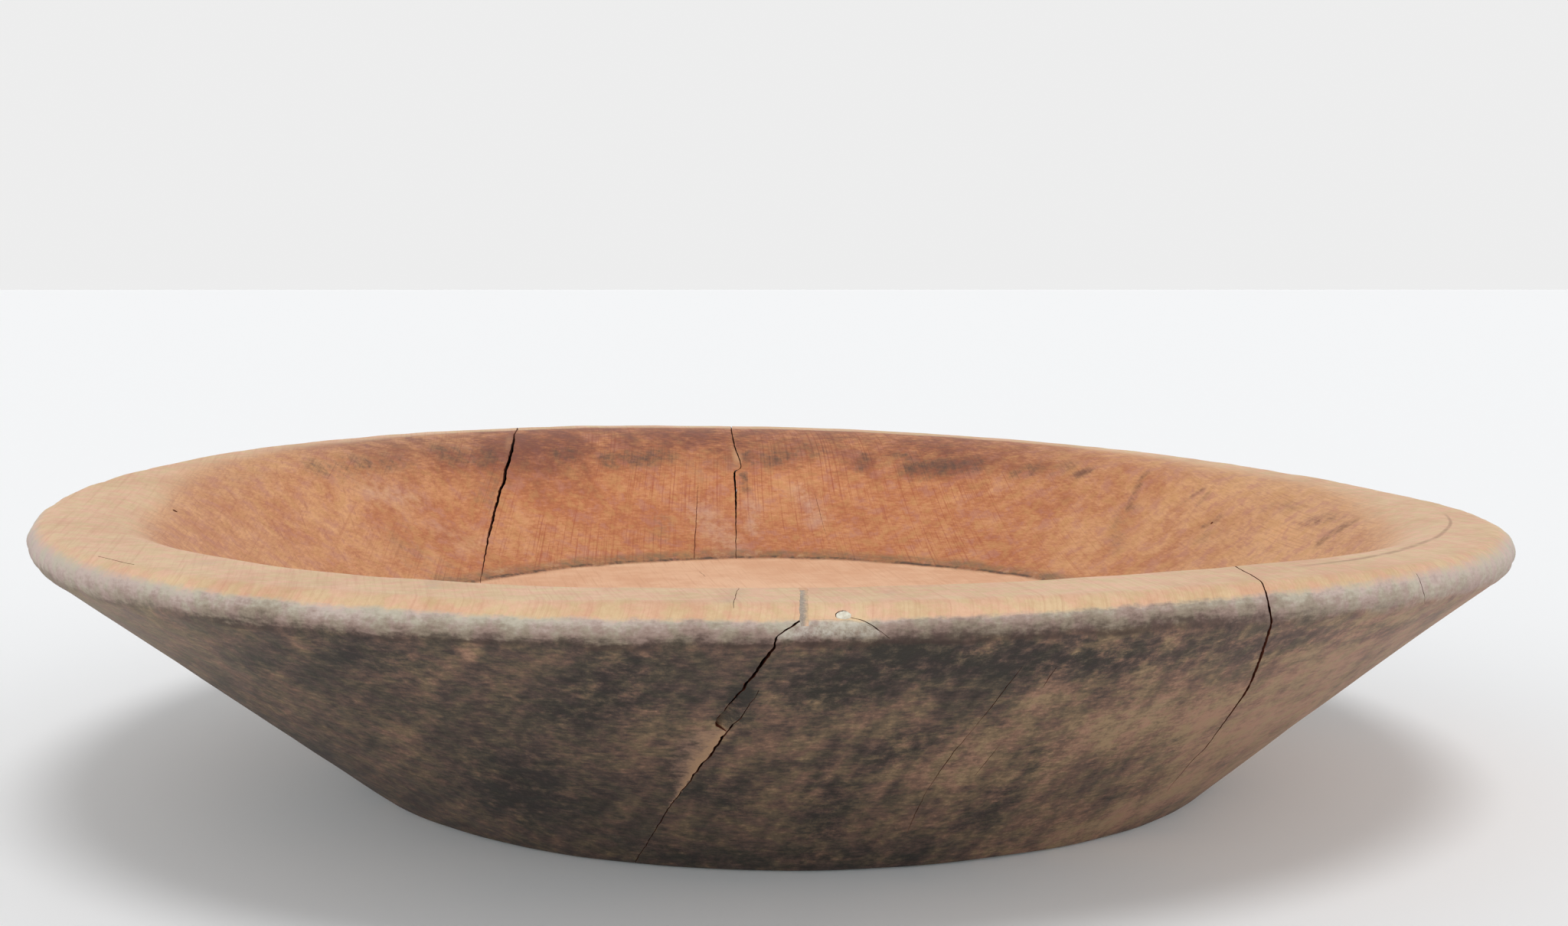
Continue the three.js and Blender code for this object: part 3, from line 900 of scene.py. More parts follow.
class Finish:
    """A material and its node tree."""

    def __init__(self, material):
        material.use_nodes = True
        self.tree = material.node_tree
        self.surface = self.tree.nodes["Principled BSDF"]

    def node(self, kind, settings=None, sockets=None, out=0):
        """Adds a node and returns a wire from one of its outputs, or from several."""
        made = self.tree.nodes.new(kind)
        for name, value in (settings or {}).items():
            setattr(made, name, value)
        for name, value in (sockets or {}).items():
            self.feed(made.inputs[name], value)
        if isinstance(out, tuple):
            return [Wire(self, made.outputs[name]) for name in out]
        return Wire(self, made.outputs[out])

    def feed(self, socket, value):
        if isinstance(value, Wire):
            self.tree.links.new(value.socket, socket)
        else:
            socket.default_value = value

    def coat(self, **sockets):
        """Sets the sockets of the surface, with spaces for the underscores in their names."""
        for name, value in sockets.items():
            self.feed(self.surface.inputs[name.replace("_", " ")], value)

    def maths(self, operation, *values):
        return self.node("ShaderNodeMath", {"operation": operation}, dict(enumerate(values)))

    def kept(self, name):
        """What the vertices keep under a name."""
        return self.node("ShaderNodeAttribute", {"attribute_name": name}, out="Fac")

    def step(self, value, low, high):
        """A smooth step from 0 at low to 1 at high. Low may be above high, and then it falls."""
        sockets = {"Value": value, "From Min": low, "From Max": high}
        return self.node("ShaderNodeMapRange", {"interpolation_type": "SMOOTHSTEP"}, sockets)

    def near_zero(self, value, core, edge):
        """1 where a value is within core of zero, and 0 where it is further than edge."""
        return 1 - self.step(abs(value), core, edge)

    def mix(self, share, first, second, how="MIX"):
        """One colour going over into another."""
        settings = {"data_type": "RGBA", "blend_type": how}
        sockets = {MIX_SHARE: share, MIX_FIRST: first, MIX_SECOND: second}
        return self.node("ShaderNodeMix", settings, sockets, MIX_RESULT)

    def noise(self, place, stretch, detail=2.0, roughness=0.5):
        """Noise whose lumps are 1 / stretch millimetres along each axis of the place."""
        spread = self.node("ShaderNodeVectorMath", {"operation": "MULTIPLY"}, {0: place, 1: stretch})
        sockets = {"Vector": spread, "Scale": 1.0, "Detail": detail, "Roughness": roughness}
        return self.node("ShaderNodeTexNoise", {}, sockets)

    def bump(self, height, millimetres):
        sockets = {"Height": height, "Strength": 1.0, "Distance": millimetres * MM}
        return self.node("ShaderNodeBump", {}, sockets)


def colour(red, green, blue):
    """A colour as a screen shows it, from 0 to 255, made ready for a socket."""
    parts = [part / 255 for part in (red, green, blue)]
    return (*[p / 12.92 if p <= 0.04045 else ((p + 0.055) / 1.055) ** 2.4 for p in parts], 1.0)


print("a mid grey of 128 is", round(colour(128, 128, 128)[0], 3), "as light")

# %% [markdown]
# The block was split from the lower side of a thick log, with the heart of the tree above the bowl. So the
# grain runs from front to back, the rays fan down from the heart and show as fine upright lines on the
# front and back walls, and the sides show long grain. A flat wood texture would slide over these turns,
# so the wood is a solid: its coordinates are the distance from the heart, the way round it and along it.

# %% Places in the block
GRAIN_TURN = math.radians(10)
HEART_ACROSS = 85
HEART_HEIGHT = 430
TURNED_STRETCH = 3  # marks left by turning are this many times longer than they are high
MIDDLE_X = -10
ENDS = (105, 215)  # how far from the middle the two ends of the bowl start and are in full


def wood_places(wood):
    """Wires for where a point lies in the block, on the profile and round the bowl."""
    at = SimpleNamespace()
    place = wood.node("ShaderNodeTexCoord", out="Object")
    at.point = wood.node("ShaderNodeVectorMath", {"operation": "SCALE"}, {0: place, "Scale": 1 / MM})
    at.x, at.y, at.z = wood.node("ShaderNodeSeparateXYZ", {}, {0: at.point}, ("X", "Y", "Z"))
    at.trip = wood.kept("trip")
    at.ends = wood.step(abs(at.x - MIDDLE_X), *ENDS)
    aside = at.x * math.cos(GRAIN_TURN) + at.y * math.sin(GRAIN_TURN) - HEART_ACROSS
    along = at.y * math.cos(GRAIN_TURN) - at.x * math.sin(GRAIN_TURN)
    down = HEART_HEIGHT - at.z
    from_heart = (aside * aside + down * down) ** 0.5
    round_heart = aside.calc("ARCTAN2", down) * HEART_HEIGHT
    at.block = wood.node("ShaderNodeCombineXYZ", {}, {0: from_heart, 1: round_heart, 2: along})
    at.turned = wood.node("ShaderNodeCombineXYZ", {}, {0: at.x, 1: at.y, 2: at.trip * TURNED_STRETCH})
    return at


print("the heart of the log lies", HEART_HEIGHT, "mm above the foot, and the grain turns by",
      round(math.degrees(GRAIN_TURN)), "degrees")

# %% [markdown]
# Old wood has pattern at every size, from fibres thinner than a millimetre to clouds as wide as a hand. One
# noise with much detail would look the same everywhere, so each kind of pattern is a noise of its own: some
# follow the block, some the turning of the bowl, and some are even in all directions. The finishes below
# are sums of these, and the shares in each sum were judged.

# %% Patterns in the wood
ROSY_TINT, OLIVE_TINT = colour(255, 238, 240), colour(242, 250, 230)


def wood_figure(wood, at):
    """The patterns that every finish of the bowl draws on."""
    at.fibre = wood.noise(at.block, (1.1, 1.1, 0.03), 2, 0.6)
    at.rays = wood.noise(at.block, (0.008, 1.1, 0.02), 3, 0.7)
    at.bands = wood.noise(at.block, (0.01, 0.15, 0.03), 2, 0.6)
    at.clouds = wood.noise(at.point, (0.02, 0.02, 0.02), 4, 0.6)
    at.mottle = wood.noise(at.point, (0.1, 0.1, 0.1), 4, 0.65)
    at.hue = wood.noise(at.point, (0.16, 0.16, 0.16), 3, 0.65)
    at.grain = wood.noise(at.point, (0.3, 0.3, 0.3), 5, 0.75)
    at.speck = wood.noise(at.point, (0.9, 0.9, 0.9), 2, 0.6)
    at.sweep = wood.noise(at.turned, (0.06, 0.06, 0.06), 3, 0.6)
    at.scratch = wood.noise(at.turned, (0.3, 0.3, 0.3), 3, 0.65)


def tinted(wood, at, skin, strength):
    """Weathered wood is never one hue: it turns rosy in one place and olive in the next."""
    hue = wood.mix(wood.step(at.hue, 0.4, 0.6), ROSY_TINT, OLIVE_TINT)
    return wood.mix(strength, skin, hue, "MULTIPLY")


print("tints: rosy keeps", round(ROSY_TINT[1], 2), "of green, olive", round(OLIVE_TINT[2], 2), "of blue")

# %% [markdown]
# Outside, smoke, grease and handling have turned the wood dark grey-brown. Turning left fine level
# scratches, and where the dark skin is rubbed away the brown wood shows in flecks. A ramp of colours over
# one noise would repeat, so a level is summed from patterns and marks, and each colour takes over from the
# last as the level rises.

# %% Outside wall
SOOTY, SMOKED = colour(52, 46, 42), colour(88, 75, 66)
WORN_BROWN, WORN_TAN = colour(126, 102, 84), colour(170, 139, 113)
# the rosy end colour is partly the wood's own and partly painted light and sheen on the front of the right
# end
ROSY_LIT_END, DUSTY_END = colour(180, 148, 130), colour(152, 138, 122)
FRONT = (90, -20)  # Y over which the paler look of the front, partly painted light and sheen, takes over from the dark back
LIT_RIGHT = (0, 120)  # X; paler to the right, partly as painted light
ROSY_LIT_RIGHT = (70, 190)  # X
DUSTY_LEFT = (-110, -210)  # X
DUSTY_UP = (190, 250)  # trip
CLOUDS_PUSH = 120  # millimetres by which clouds push these borders about


def outside_colour(wood, at):
    level = at.clouds * 0.4 + at.mottle * 0.25 + at.grain * 0.6 + at.scratch * 0.4 + at.bands * 0.4 - 0.18
    soot = wood.kept("soot") * wood.step(at.grain * 0.6 + at.mottle * 0.4, 0.68, 0.36)
    push = (at.clouds - 0.5) * CLOUDS_PUSH
    front = wood.step(at.y + push, *FRONT)
    rosy = wood.step(at.x + push, *ROSY_LIT_RIGHT) * front
    level = level + wood.kept("rubbed") * 0.22 - soot * 0.28
    # the front, its ends and its right are lighter: partly paler wood, partly painted light and sheen
    level = level + at.ends * (0.02 + front * 0.08) + wood.step(at.x, *LIT_RIGHT) * front * 0.1
    level = level + rosy * 0.12 + (at.sweep - 0.5) * (0.15 + rosy * 0.6)
    skin = wood.mix(wood.step(level, 0.6, 0.9), SOOTY, SMOKED)
    skin = wood.mix(wood.step(level, 0.78, 1.04), skin, WORN_BROWN)
    skin = wood.mix(wood.step(level + (at.speck - 0.5) * 0.3, 0.92, 1.22) * 0.9, skin, WORN_TAN)
    skin = wood.mix(rosy * 0.4, skin, ROSY_LIT_END)
    dust = wood.step(at.x, *DUSTY_LEFT) * wood.step(at.trip, *DUSTY_UP) * 0.55
    return tinted(wood, at, wood.mix(dust, skin, DUSTY_END), 0.7)


print("outside: soot reflects", round(SOOTY[1], 3), "of green light and rubbed wood", round(WORN_TAN[1], 3))

# %% [markdown]
# The nose of the rim has weathered to a mottled silver grey, as bare wood does where hands and water reach.
# It could be one grey with noise on it, but the grey darkens toward the outside wall, where the nose faces
# down: partly dirt and partly painted shade. So the share of the way up the nose goes into its tone together
# with the spots.

# %% Nose of the rim
NOSE_DARK, NOSE_GREY = colour(92, 76, 68), colour(150, 133, 121)
NOSE_SILVER, NOSE_PALE = colour(200, 190, 180), colour(190, 172, 162)
DULL_FROM, DULL_TO = (-60, 50), (125, 85)  # X over which a duller stretch sets in, and ends


def nose_colour(wood, at):
    spots = at.mottle * 0.3 + at.grain * 0.2 + at.scratch * 0.35 + at.speck * 0.15 - 0.5
    # the grey share darkens the lower, down-facing part of the nose: partly dirt, partly painted shade
    tone = wood.kept("grey") * 0.7 + spots * 2.4 + (at.clouds - 0.5) + at.ends * 0.2 + 0.14
    tone = tone - wood.step(at.x, *DULL_FROM) * wood.step(at.x, *DULL_TO) * 0.3
    skin = wood.mix(wood.step(tone, -0.2, 0.4), NOSE_DARK, NOSE_GREY)
    skin = wood.mix(wood.step(tone, 0.25, 0.95) * 0.85, skin, NOSE_SILVER)
    skin = wood.mix(at.ends * 0.45, skin, NOSE_PALE)
    return tinted(wood, at, skin, 0.55)


print("nose: from", round(NOSE_DARK[1], 3), "to", round(NOSE_SILVER[1], 3), "of green light")

# %% [markdown]
# The top of the rim and the floor are rubbed clean. They show the pale wood itself, with fine rays across
# the front and long lines at the sides. Stripes drawn straight across would not turn with the bowl, but the
# rays and fibres of the block do so by themselves.

# %% Top of the rim and floor
TOP_PEACH, TOP_LIGHT, TOP_LINE = colour(208, 170, 135), colour(226, 193, 161), colour(196, 142, 116)
SMUDGE = colour(150, 136, 124)
FLOOR_PINK, FLOOR_LIGHT, FLOOR_LINE = colour(224, 171, 134), colour(236, 190, 154), colour(200, 142, 106)


def top_colour(wood, at):
    worn = at.clouds * 0.4 + at.mottle * 0.3 + at.grain * 0.3
    skin = wood.mix(wood.step(worn, 0.38, 0.62), TOP_PEACH, TOP_LIGHT)
    lines = wood.step(at.rays, 0.45, 0.75) * 0.4 + wood.step(at.fibre, 0.5, 0.76) * 0.15
    skin = wood.mix(lines, skin, TOP_LINE)
    smudge = wood.kept("stain") * wood.step(at.mottle * 0.5 + at.grain * 0.5, 0.34, 0.6)
    return tinted(wood, at, wood.mix(smudge * 0.6, skin, SMUDGE), 0.6)


def floor_colour(wood, at):
    skin = wood.mix(wood.step(at.clouds * 0.5 + at.mottle * 0.5, 0.38, 0.62), FLOOR_PINK, FLOOR_LIGHT)
    return wood.mix(wood.step(at.fibre, 0.48, 0.76) * 0.35, skin, FLOOR_LINE)


print("rim and floor reflect", round(TOP_LIGHT[1], 3), "and", round(FLOOR_LIGHT[1], 3), "of green light")

# %% [markdown]
# In the hollow, damp has darkened the wood under the back rim, use has stained it, and scraping has left
# pale scuffs. A stroke alone would look sprayed on, so noise breaks each stroke up: a stain spreads where the
# wood is open and stops at the next patch.

# %% Marks in the hollow
DAMP, SCUFFED, RAW = colour(112, 66, 54), colour(206, 172, 150), colour(196, 150, 112)
STAIN_LEFT, STAIN_RIGHT = colour(86, 66, 56), colour(116, 76, 58)
STAIN_TURNS = (60, 130)  # X over which the colour of the stains turns
DAMP_DOWN = (330, 292)  # trip
DAMP_BACK = (70, 170)  # Y
DAMP_RIGHT = (150, 60)  # X
DAMP_CLOUDS, DAMP_MOTTLE = 44, 24  # millimetres by which noise moves the foot of the damp


def marked(wood, at, skin):
    """The hollow with its dark stains, its scuffs and the raw wood beside the splits."""
    low = at.trip + (at.clouds - 0.5) * DAMP_CLOUDS + (at.mottle - 0.5) * DAMP_MOTTLE
    damp = wood.step(low, *DAMP_DOWN) * wood.step(at.y, *DAMP_BACK) * wood.step(at.x, *DAMP_RIGHT)
    patchy = 0.14 + wood.step(at.clouds * 0.3 + at.mottle * 0.4 + at.scratch * 0.3, 0.62, 0.38) * 0.7
    skin = wood.mix(damp * patchy, skin, DAMP)
    stain = wood.kept("stain")
    blot = stain + (at.rays * 0.15 + at.grain * 0.4 + at.mottle * 0.45 - 0.5) * 4.5
    stained = wood.mix(wood.step(at.x, *STAIN_TURNS), STAIN_LEFT, STAIN_RIGHT)
    skin = wood.mix(wood.step(blot, 0, 1.1) * wood.step(stain, 0.02, 0.45) * 0.9, skin, stained)
    scuff = wood.kept("scuff") * wood.step(at.grain * 0.5 + at.mottle * 0.5, 0.34, 0.66)
    skin = wood.mix(scuff * 0.8, skin, SCUFFED)
    return wood.mix(wood.kept("raw"), skin, RAW)


print("damp reaches down to a trip of about", DAMP_DOWN[0], "mm")

# %% [markdown]
# The wall of the hollow is the richest part: red-brown wood with upright rays at the back and paler long
# grain at the two ends, in patches that no two noises alone would give. So colours go over each other one at
# a time, as stain would: the red and the tan first, then pale and dark patches, two hues, and the rays.

# %% Wall of the hollow
HOLLOW_RED, HOLLOW_TAN = colour(192, 120, 76), colour(208, 160, 117)
HOLLOW_PALE, HOLLOW_DARK = colour(228, 174, 126), colour(146, 78, 50)
HOLLOW_ROSY, HOLLOW_OLIVE = colour(182, 124, 108), colour(200, 150, 96)
RAY_RED = colour(156, 70, 40)
REDDEST_X = -20
TAN_AWAY = (66, 230)  # how far from the reddest place the tan starts and is in full
TAN_CLOUDS, TAN_MOTTLE = 160, 120  # millimetres by which noise moves that border
RAYS_RIGHT, RAYS_LEFT = (170, 60), (-150, -90)  # X
HATCH_LEFT = (-90, -160)  # X
HATCH_WAYS = [(0.05, 0.6, 1), (0.6, 0.05, 1)]  # scratches cross each other on the left wall


def hollow_colour(wood, at):
    away = abs(at.x - REDDEST_X) + (at.clouds - 0.5) * TAN_CLOUDS + (at.mottle - 0.5) * TAN_MOTTLE
    skin = wood.mix(wood.step(away, *TAN_AWAY), HOLLOW_RED, HOLLOW_TAN)
    patches = at.clouds * 0.25 + at.mottle * 0.25 + at.grain * 0.25 + at.scratch * 0.25
    skin = wood.mix(wood.step(patches, 0.44, 0.66) * 0.65, skin, HOLLOW_PALE)
    skin = wood.mix(wood.step(1 - patches, 0.45, 0.68) * (0.7 - at.ends * 0.2), skin, HOLLOW_DARK)
    skin = wood.mix(wood.step(at.hue, 0.5, 0.66) * 0.5, skin, HOLLOW_ROSY)
    skin = wood.mix(wood.step(at.hue, 0.5, 0.34) * 0.45, skin, HOLLOW_OLIVE)
    rays = wood.step(at.rays, 0.5, 0.66) * (0.3 + wood.step(at.clouds, 0.42, 0.58) * 0.7)
    rays = rays * wood.step(at.x, *RAYS_RIGHT) * (0.4 + wood.step(at.x, *RAYS_LEFT) * 0.6)
    skin = wood.mix(rays * 0.55, skin, RAY_RED)
    skin = wood.mix(wood.step(at.fibre, 0.46, 0.8) * (0.1 + at.ends * 0.3), skin, HOLLOW_DARK)
    crossed = wood.node("ShaderNodeCombineXYZ", {}, {0: at.y + at.trip, 1: at.y - at.trip})
    up, down = [wood.noise(crossed, way) for way in HATCH_WAYS]
    hatch = wood.step(up.calc("MAXIMUM", down), 0.56, 0.74) * wood.step(at.x, *HATCH_LEFT)
    return marked(wood, at, wood.mix(hatch * 0.3, skin, HOLLOW_DARK))


print("red and tan reflect", round(HOLLOW_RED[1], 3), "and", round(HOLLOW_TAN[1], 3), "of green light")

# %% [markdown]
# Grime of years lies in the corner above the floor, with pale dust in it, and a narrow dark line of painted
# shade runs along the corner below it. On the right of the rim a line was scribed, and beside the front split
# the skin is torn off. Each could be a piece of mesh, but none stands up from the wood, so each is a colour
# that follows what the vertices keep.

# %% Grime, painted corner shade, scribed line and torn wood
# the third colour is painted shade along the corner where the hollow meets the floor; grime and pale dust are
# dirt
GRIME, PALE_DUST, CORNER_SHADE = colour(112, 94, 70), colour(206, 178, 142), colour(66, 54, 44)
GRIME_UP, CORNER_SHADE_UP = 2.6, 0.4  # how far above the corner each has its middle
GRIME_HALF, CORNER_SHADE_HALF = (0.4, 5), (0.2, 1.5)  # half widths, of the core and to the edge
SCRIBED = colour(140, 100, 76)
SCRIBED_RIGHT, SCRIBED_FRONT = (118, 150), (-8, -50)  # X and Y where the line sets in
TORN_DULL, TORN_PALE = colour(140, 112, 96), colour(178, 142, 110)


def grimy_and_shaded(wood, at, skin):
    """The skin with grime and a line of painted shade where the hollow meets the floor."""
    corner = at.trip - HOLLOW_END
    wander = (at.sweep - 0.5) * 5 + (at.mottle - 0.5) * 3
    grime = wood.near_zero(corner + GRIME_UP + wander, *GRIME_HALF)
    crusty = at.mottle * 0.5 + at.grain * 0.5
    skin = wood.mix(grime * (0.25 + wood.step(crusty, 0.42, 0.6) * 0.5), skin, GRIME)
    skin = wood.mix(grime * wood.step(crusty, 0.47, 0.36) * 0.4, skin, PALE_DUST)
    # painted shade: a dark line just above the corner, broken up by noise
    corner_shade = wood.near_zero(corner + CORNER_SHADE_UP + wander * 0.35, *CORNER_SHADE_HALF)
    shade_breakup = 0.2 + wood.step(at.sweep + (at.grain - 0.5), 0.36, 0.66) * 0.7
    return wood.mix(corner_shade * shade_breakup, skin, CORNER_SHADE)


def scored(wood, at, skin):
    """The skin with the scribed line, which has worn away in places."""
    line = wood.near_zero(wood.kept("scribed"), 0.2, 1) * wood.step(at.mottle, 0.3, 0.56) * 0.55
    line = line * wood.step(at.x, *SCRIBED_RIGHT) * wood.step(at.y, *SCRIBED_FRONT)
    return wood.mix(line, skin, SCRIBED)


def ripped(wood, at, skin):
    """The skin with the raw wood of the torn wedge, palest next to the split."""
    torn_off = wood.kept("torn")
    ragged = torn_off + (at.grain - 0.5) * 1.2 + (at.scratch - 0.5)
    raw = wood.step(torn_off, 0, 0.1) * wood.step(ragged, 0.1, 0.85) * 0.9
    return wood.mix(raw, skin, wood.mix(wood.step(torn_off + at.grain - 0.5, 0.4, 1), TORN_DULL, TORN_PALE))


print("grime: up to", GRIME_HALF[1], "mm to each side of its middle")

# %% [markdown]
# The finishes meet along the profile. Each could be a material of its own on its own faces, but then the
# borders would follow the mesh. So the bowl's skin is one material: each finish starts at its own trip, and
# noise frays the line between two of them. Grime with the painted shade of the corner, line and torn wood go
# on last.

# %% The wood of the bowl
# painted shade: a dark, streaky line on the wall just under the overhang of the nose
SHADE_UNDER_NOSE = colour(62, 46, 40)
SHADE_UNDER_LEFT = (115, 70)  # X to the right of which no painted shade lies under the nose
SOFT_BACK = (-40, 70)  # Y over which the lip starts further out
SOFT_BACK_BY = 19


def outer_skin(wood, at):
    """Outside wall, nose and top of the rim, one above the other."""
    fray = (at.grain - 0.5) * 0.25 + (at.scratch - 0.5) * 0.35 + (at.mottle - 0.5) * 0.4
    grey = wood.kept("grey") + fray
    foot = grey + (at.sweep - 0.5) * 1.2
    skin = wood.mix(wood.step(foot, -0.35, 0.25), outside_colour(wood, at), nose_colour(wood, at))
    # the line of painted shade under the nose
    under = wood.near_zero(foot + 0.15, 0.02, 0.3) * (1 - at.ends)
    under = under * wood.step(at.x, *SHADE_UNDER_LEFT) * wood.step(at.sweep, 0.36, 0.58)
    skin = wood.mix(under * 0.7, skin, SHADE_UNDER_NOSE)
    top_starts = wood.step(grey, 0.86 - at.ends * 0.2, 1.16 + at.ends * 0.2)
    return wood.mix(top_starts, skin, top_colour(wood, at))


def paint_skin_wood():
    wood = Finish(skin_wood)
    at = wood_places(wood)
    wood_figure(wood, at)
    lip = at.trip + (at.mottle - 0.5) * 5 + at.ends * 4
    start = TOP_END + 2 - wood.step(at.y, *SOFT_BACK) * SOFT_BACK_BY
    in_hollow = wood.step(lip, start, start + (4 + at.ends * 16))
    on_floor = wood.step(at.trip, HOLLOW_END - 0.5, HOLLOW_END + 1.5)
    skin = wood.mix(in_hollow, outer_skin(wood, at), hollow_colour(wood, at))
    skin = wood.mix(on_floor, skin, floor_colour(wood, at))
    skin = ripped(wood, at, scored(wood, at, grimy_and_shaded(wood, at, skin)))
    rough = 0.62 + (at.mottle - 0.5) * 0.25
    relief = at.fibre * 0.4 + at.scratch * 0.25 + at.grain * 0.5
    wood.coat(Base_Color=skin, Roughness=rough, Normal=wood.bump(relief, 0.25), Specular_IOR_Level=0.3)


paint_skin_wood()
print("old wood:", len(skin_wood.node_tree.nodes), "nodes")

# %% [markdown]
# Inside a split the wood is raw and brown at the lips, and further in its colour is painted darker as shade,
# down to black. Black all through would look like a drawn line, so the depth that each vertex keeps turns the
# one into the other.

# %% Walls of the splits
# the lips keep their raw brown, and the second colour is painted shade deep in a split
SPLIT_LIP, SPLIT_SHADE = colour(128, 74, 54), colour(18, 12, 10)
SHADE_DEPTH = (0.6, 5)  # depth where the painted shade starts and is in full


def paint_split_wood():
    wood = Finish(split_wood)
    at = wood_places(wood)
    wood_figure(wood, at)
    # painted shade: the deeper a point lies in the split, the darker it is
    deep = wood.step(wood.kept("depth") + (at.mottle - 0.5) * 2, *SHADE_DEPTH)
    skin = wood.mix(deep, SPLIT_LIP, SPLIT_SHADE)
    wood.coat(Base_Color=skin, Roughness=0.9, Normal=wood.bump(at.fibre, 0.3), Specular_IOR_Level=0.2)


paint_split_wood()
print("split wood:", len(split_wood.node_tree.nodes), "nodes")

# %% [markdown]
# The glued sliver is the same weathered nose, paler where glue and filler were rubbed into it. The putty is
# grey and chalky, and the plug is paler still. They could share one finish with a tint for each, but each
# wears in its own way, so each has a finish of its own.

# %% Finishes of the sliver, putty and plug
SLIVER_CHALK = colour(206, 200, 188)
PUTTY_DULL, PUTTY_PALE = colour(150, 137, 126), colour(186, 172, 156)
PLUG_DULL, PLUG_PALE = colour(196, 186, 168), colour(230, 226, 210)
WIPED_X = (-0.6, 0.9)  # to either side of the strip's middle
WIPED_Y = (-217, -214)  # the putty is wiped away further in than this


def paint_sliver():
    wood = Finish(sliver.data.materials[SKIN_SLOT])
    at = wood_places(wood)
    wood_figure(wood, at)
    grey = wood.kept("grey")
    on_nose = wood.step(grey, 0, 0.4) * (1 - wood.step(grey, 0.9, 1.3) * 0.8)
    chalk = on_nose * wood.step(at.mottle * 0.4 + at.grain * 0.6, 0.4, 0.62) * 0.7
    skin = wood.mix(chalk, outer_skin(wood, at), SLIVER_CHALK)
    relief = wood.bump(at.fibre + at.speck, 0.2)
    wood.coat(Base_Color=skin, Roughness=0.7, Normal=relief, Specular_IOR_Level=0.3)


def putty_colour(paste, at, dull, pale):
    at.grit = paste.noise(at.point, (1.6, 1.6, 1.6), 3, 0.7)
    return paste.mix(paste.step(at.grit * 0.5 + at.mottle * 0.5, 0.36, 0.66), dull, pale)


def paint_putty():
    """The strip is darkest on its left and wiped thin on its right and at its inner end."""
    paste = Finish(putty.data.materials[SKIN_SLOT])
    at = wood_places(paste)
    wood_figure(paste, at)
    skin = putty_colour(paste, at, PUTTY_DULL, PUTTY_PALE)
    ragged = (at.grit - 0.5) * 1.6 + (at.grain - 0.5)
    wiped = paste.step(at.x - PUTTY_X + ragged, *WIPED_X) * 0.8
    inner = paste.step(at.y + ragged * 2, *WIPED_Y)
    skin = paste.mix(wiped.calc("MAXIMUM", inner), skin, top_colour(paste, at))
    paste.coat(Base_Color=skin, Roughness=0.9, Normal=paste.bump(at.grit, 0.2), Specular_IOR_Level=0.2)


def paint_plug():
    paste = Finish(plug.data.materials[SKIN_SLOT])
    at = wood_places(paste)
    wood_figure(paste, at)
    skin = putty_colour(paste, at, PLUG_DULL, PLUG_PALE)
    paste.coat(Base_Color=skin, Roughness=0.9, Normal=paste.bump(at.grit, 0.2), Specular_IOR_Level=0.2)


for piece, name in ((sliver, "sliver_wood"), (putty, "grey_putty"), (plug, "pale_putty")):
    piece.data.materials[SKIN_SLOT] = bpy.data.materials.new(name)
paint_sliver()
paint_putty()
paint_plug()
print("repair: three finishes")

# %% [markdown]
# A plain pale table and soft light from above, as in a studio. Area lamps would each need a place and a
# size, so the sky gives even light and one wide sun gives the soft shadow. The camera sees the sky as a pale
# wall, and so does anything glossy.

# %% Table and light
TABLE_HALF = 6000
TABLE_DROP = 0.1  # keeps the table clear of the foot
TABLE_PALE = colour(240, 240, 241)
TABLE_GLOW = (0.05, 0.058, 0.06)  # lifts the table to a paler grey where it is seen
LAMP_STRENGTH = 1.05
LAMP_SPREAD = math.radians(24)
LAMP_TILT = (math.radians(14), math.radians(6))
SKY_OVERHEAD = 0.35
SKY_AROUND = 1.6
SKY_TURNS = (0.0, 0.9)  # heights, with straight up as 1, between which the one goes over into the other
WALL_SEEN = 0.85


def seen_by_eye(finish):
    """1 for what the camera sees, straight or through gloss and glass, and 0 for light on the bowl."""
    looks = ("Is Camera Ray", "Is Glossy Ray", "Is Transmission Ray")
    by_camera, by_gloss, by_glass = finish.node("ShaderNodeLightPath", out=looks)
    return finish.step(by_camera + by_gloss + by_glass, 0, 1)


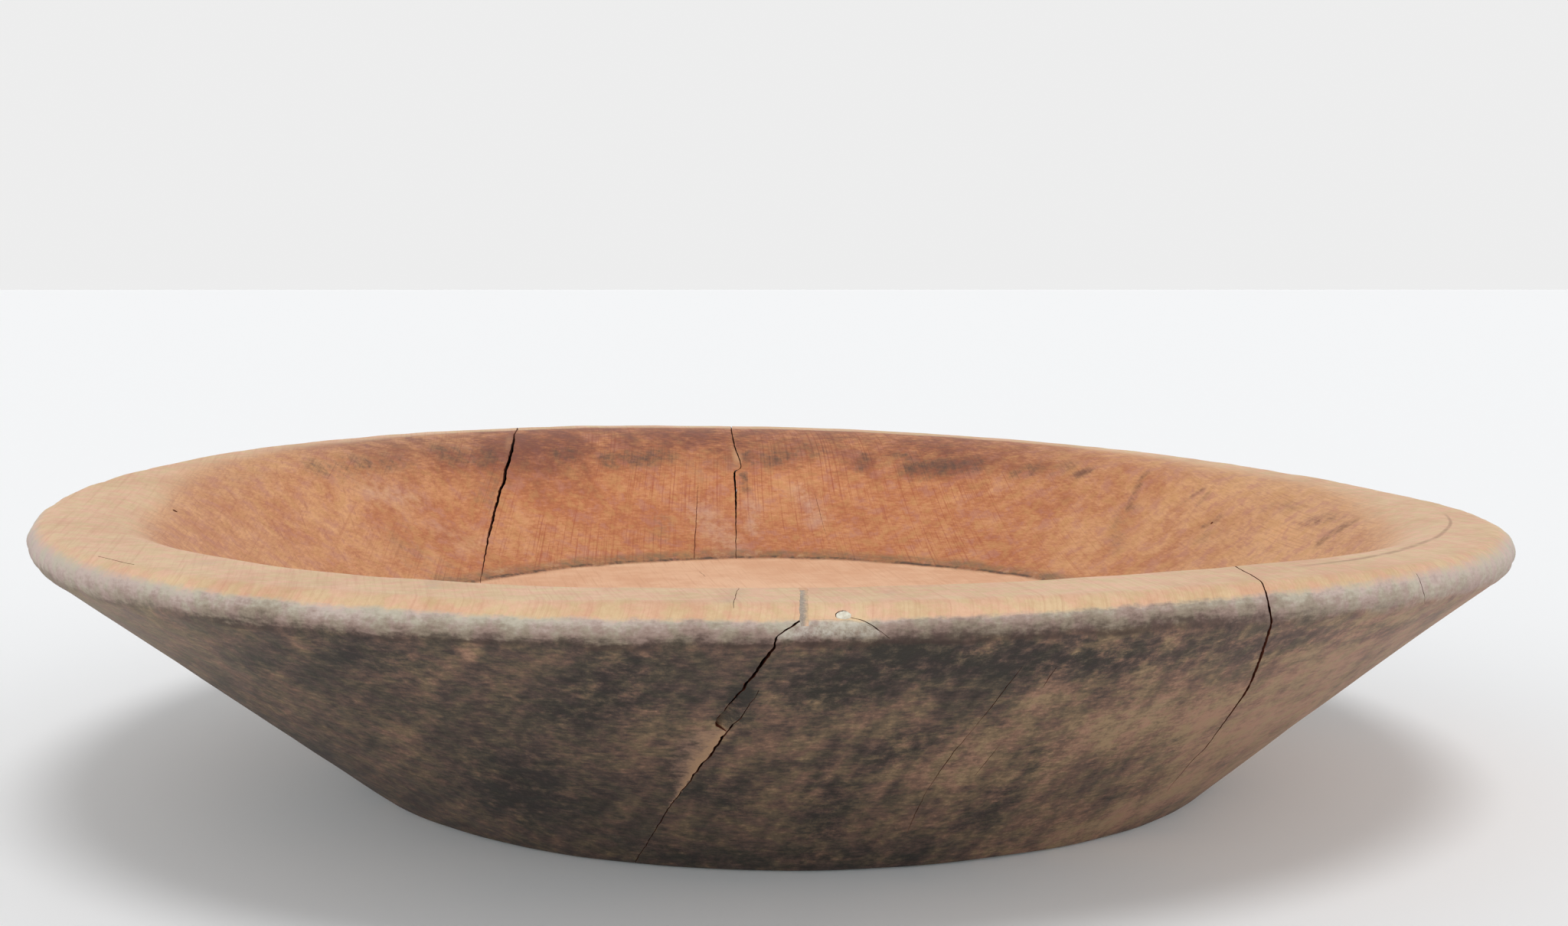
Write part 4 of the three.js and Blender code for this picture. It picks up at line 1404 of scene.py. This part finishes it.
def paint_table(table):
    pale_table = bpy.data.materials.new("pale_table")
    plain = Finish(pale_table)
    glow = plain.mix(seen_by_eye(plain), (0, 0, 0, 1), (*TABLE_GLOW, 1))
    plain.coat(Base_Color=TABLE_PALE, Roughness=0.9, Specular_IOR_Level=0.1)
    plain.coat(Emission_Color=glow, Emission_Strength=1.0)
    table.data.materials.append(pale_table)


table_corners = [(-1, -1), (1, -1), (1, 1), (-1, 1)]
table_points = [(x * TABLE_HALF, y * TABLE_HALF, -TABLE_DROP) for x, y in table_corners]
table = mesh_object("table", table_points, [[0, 1, 2, 3]])
paint_table(table)

lamp_data = bpy.data.lights.new("soft_lamp", "SUN")
lamp_data.energy = LAMP_STRENGTH
lamp_data.angle = LAMP_SPREAD
lamp = bpy.data.objects.new("soft_lamp", lamp_data)
lamp.rotation_euler = (*LAMP_TILT, 0)
bpy.context.collection.objects.link(lamp)


class Sky(Finish):
    """The world's node tree, written in the same way as a finish."""

    def __init__(self, world):
        world.use_nodes = True
        self.tree = world.node_tree
        self.surface = self.tree.nodes["Background"]


def paint_sky():
    world = bpy.data.worlds.new("sky")
    bpy.context.scene.world = world
    sky = Sky(world)
    heading = sky.node("ShaderNodeTexCoord", out="Generated")
    height = sky.node("ShaderNodeSeparateXYZ", {}, {0: heading}, "Z")
    even = SKY_AROUND + sky.step(height, *SKY_TURNS) * (SKY_OVERHEAD - SKY_AROUND)
    sky.coat(Color=(1, 1, 1, 1), Strength=even + seen_by_eye(sky) * (WALL_SEEN - even))


paint_sky()
bpy.context.scene.view_settings.view_transform = "Standard"
print("light: lamp", LAMP_STRENGTH, "and sky from", SKY_OVERHEAD, "to", SKY_AROUND)

# %% [markdown]
# The bowl has no moving part, so each piece rides on its one body and stands for its solid, whose place and
# size it keeps.

# %% Handing the pieces to the frame
PIECES = (
    (bowl, "bowl_body", "old_wood"),
    (sliver, "rim_sliver", "worn_wood"),
    (putty, "crack_filler", "grey_putty"),
    (plug, "chip_filler", "pale_putty"),
)
for piece, node, slot in PIECES:
    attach(piece, "root")
    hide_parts(node)
print("pieces:", [piece.name for piece, _, _ in PIECES])
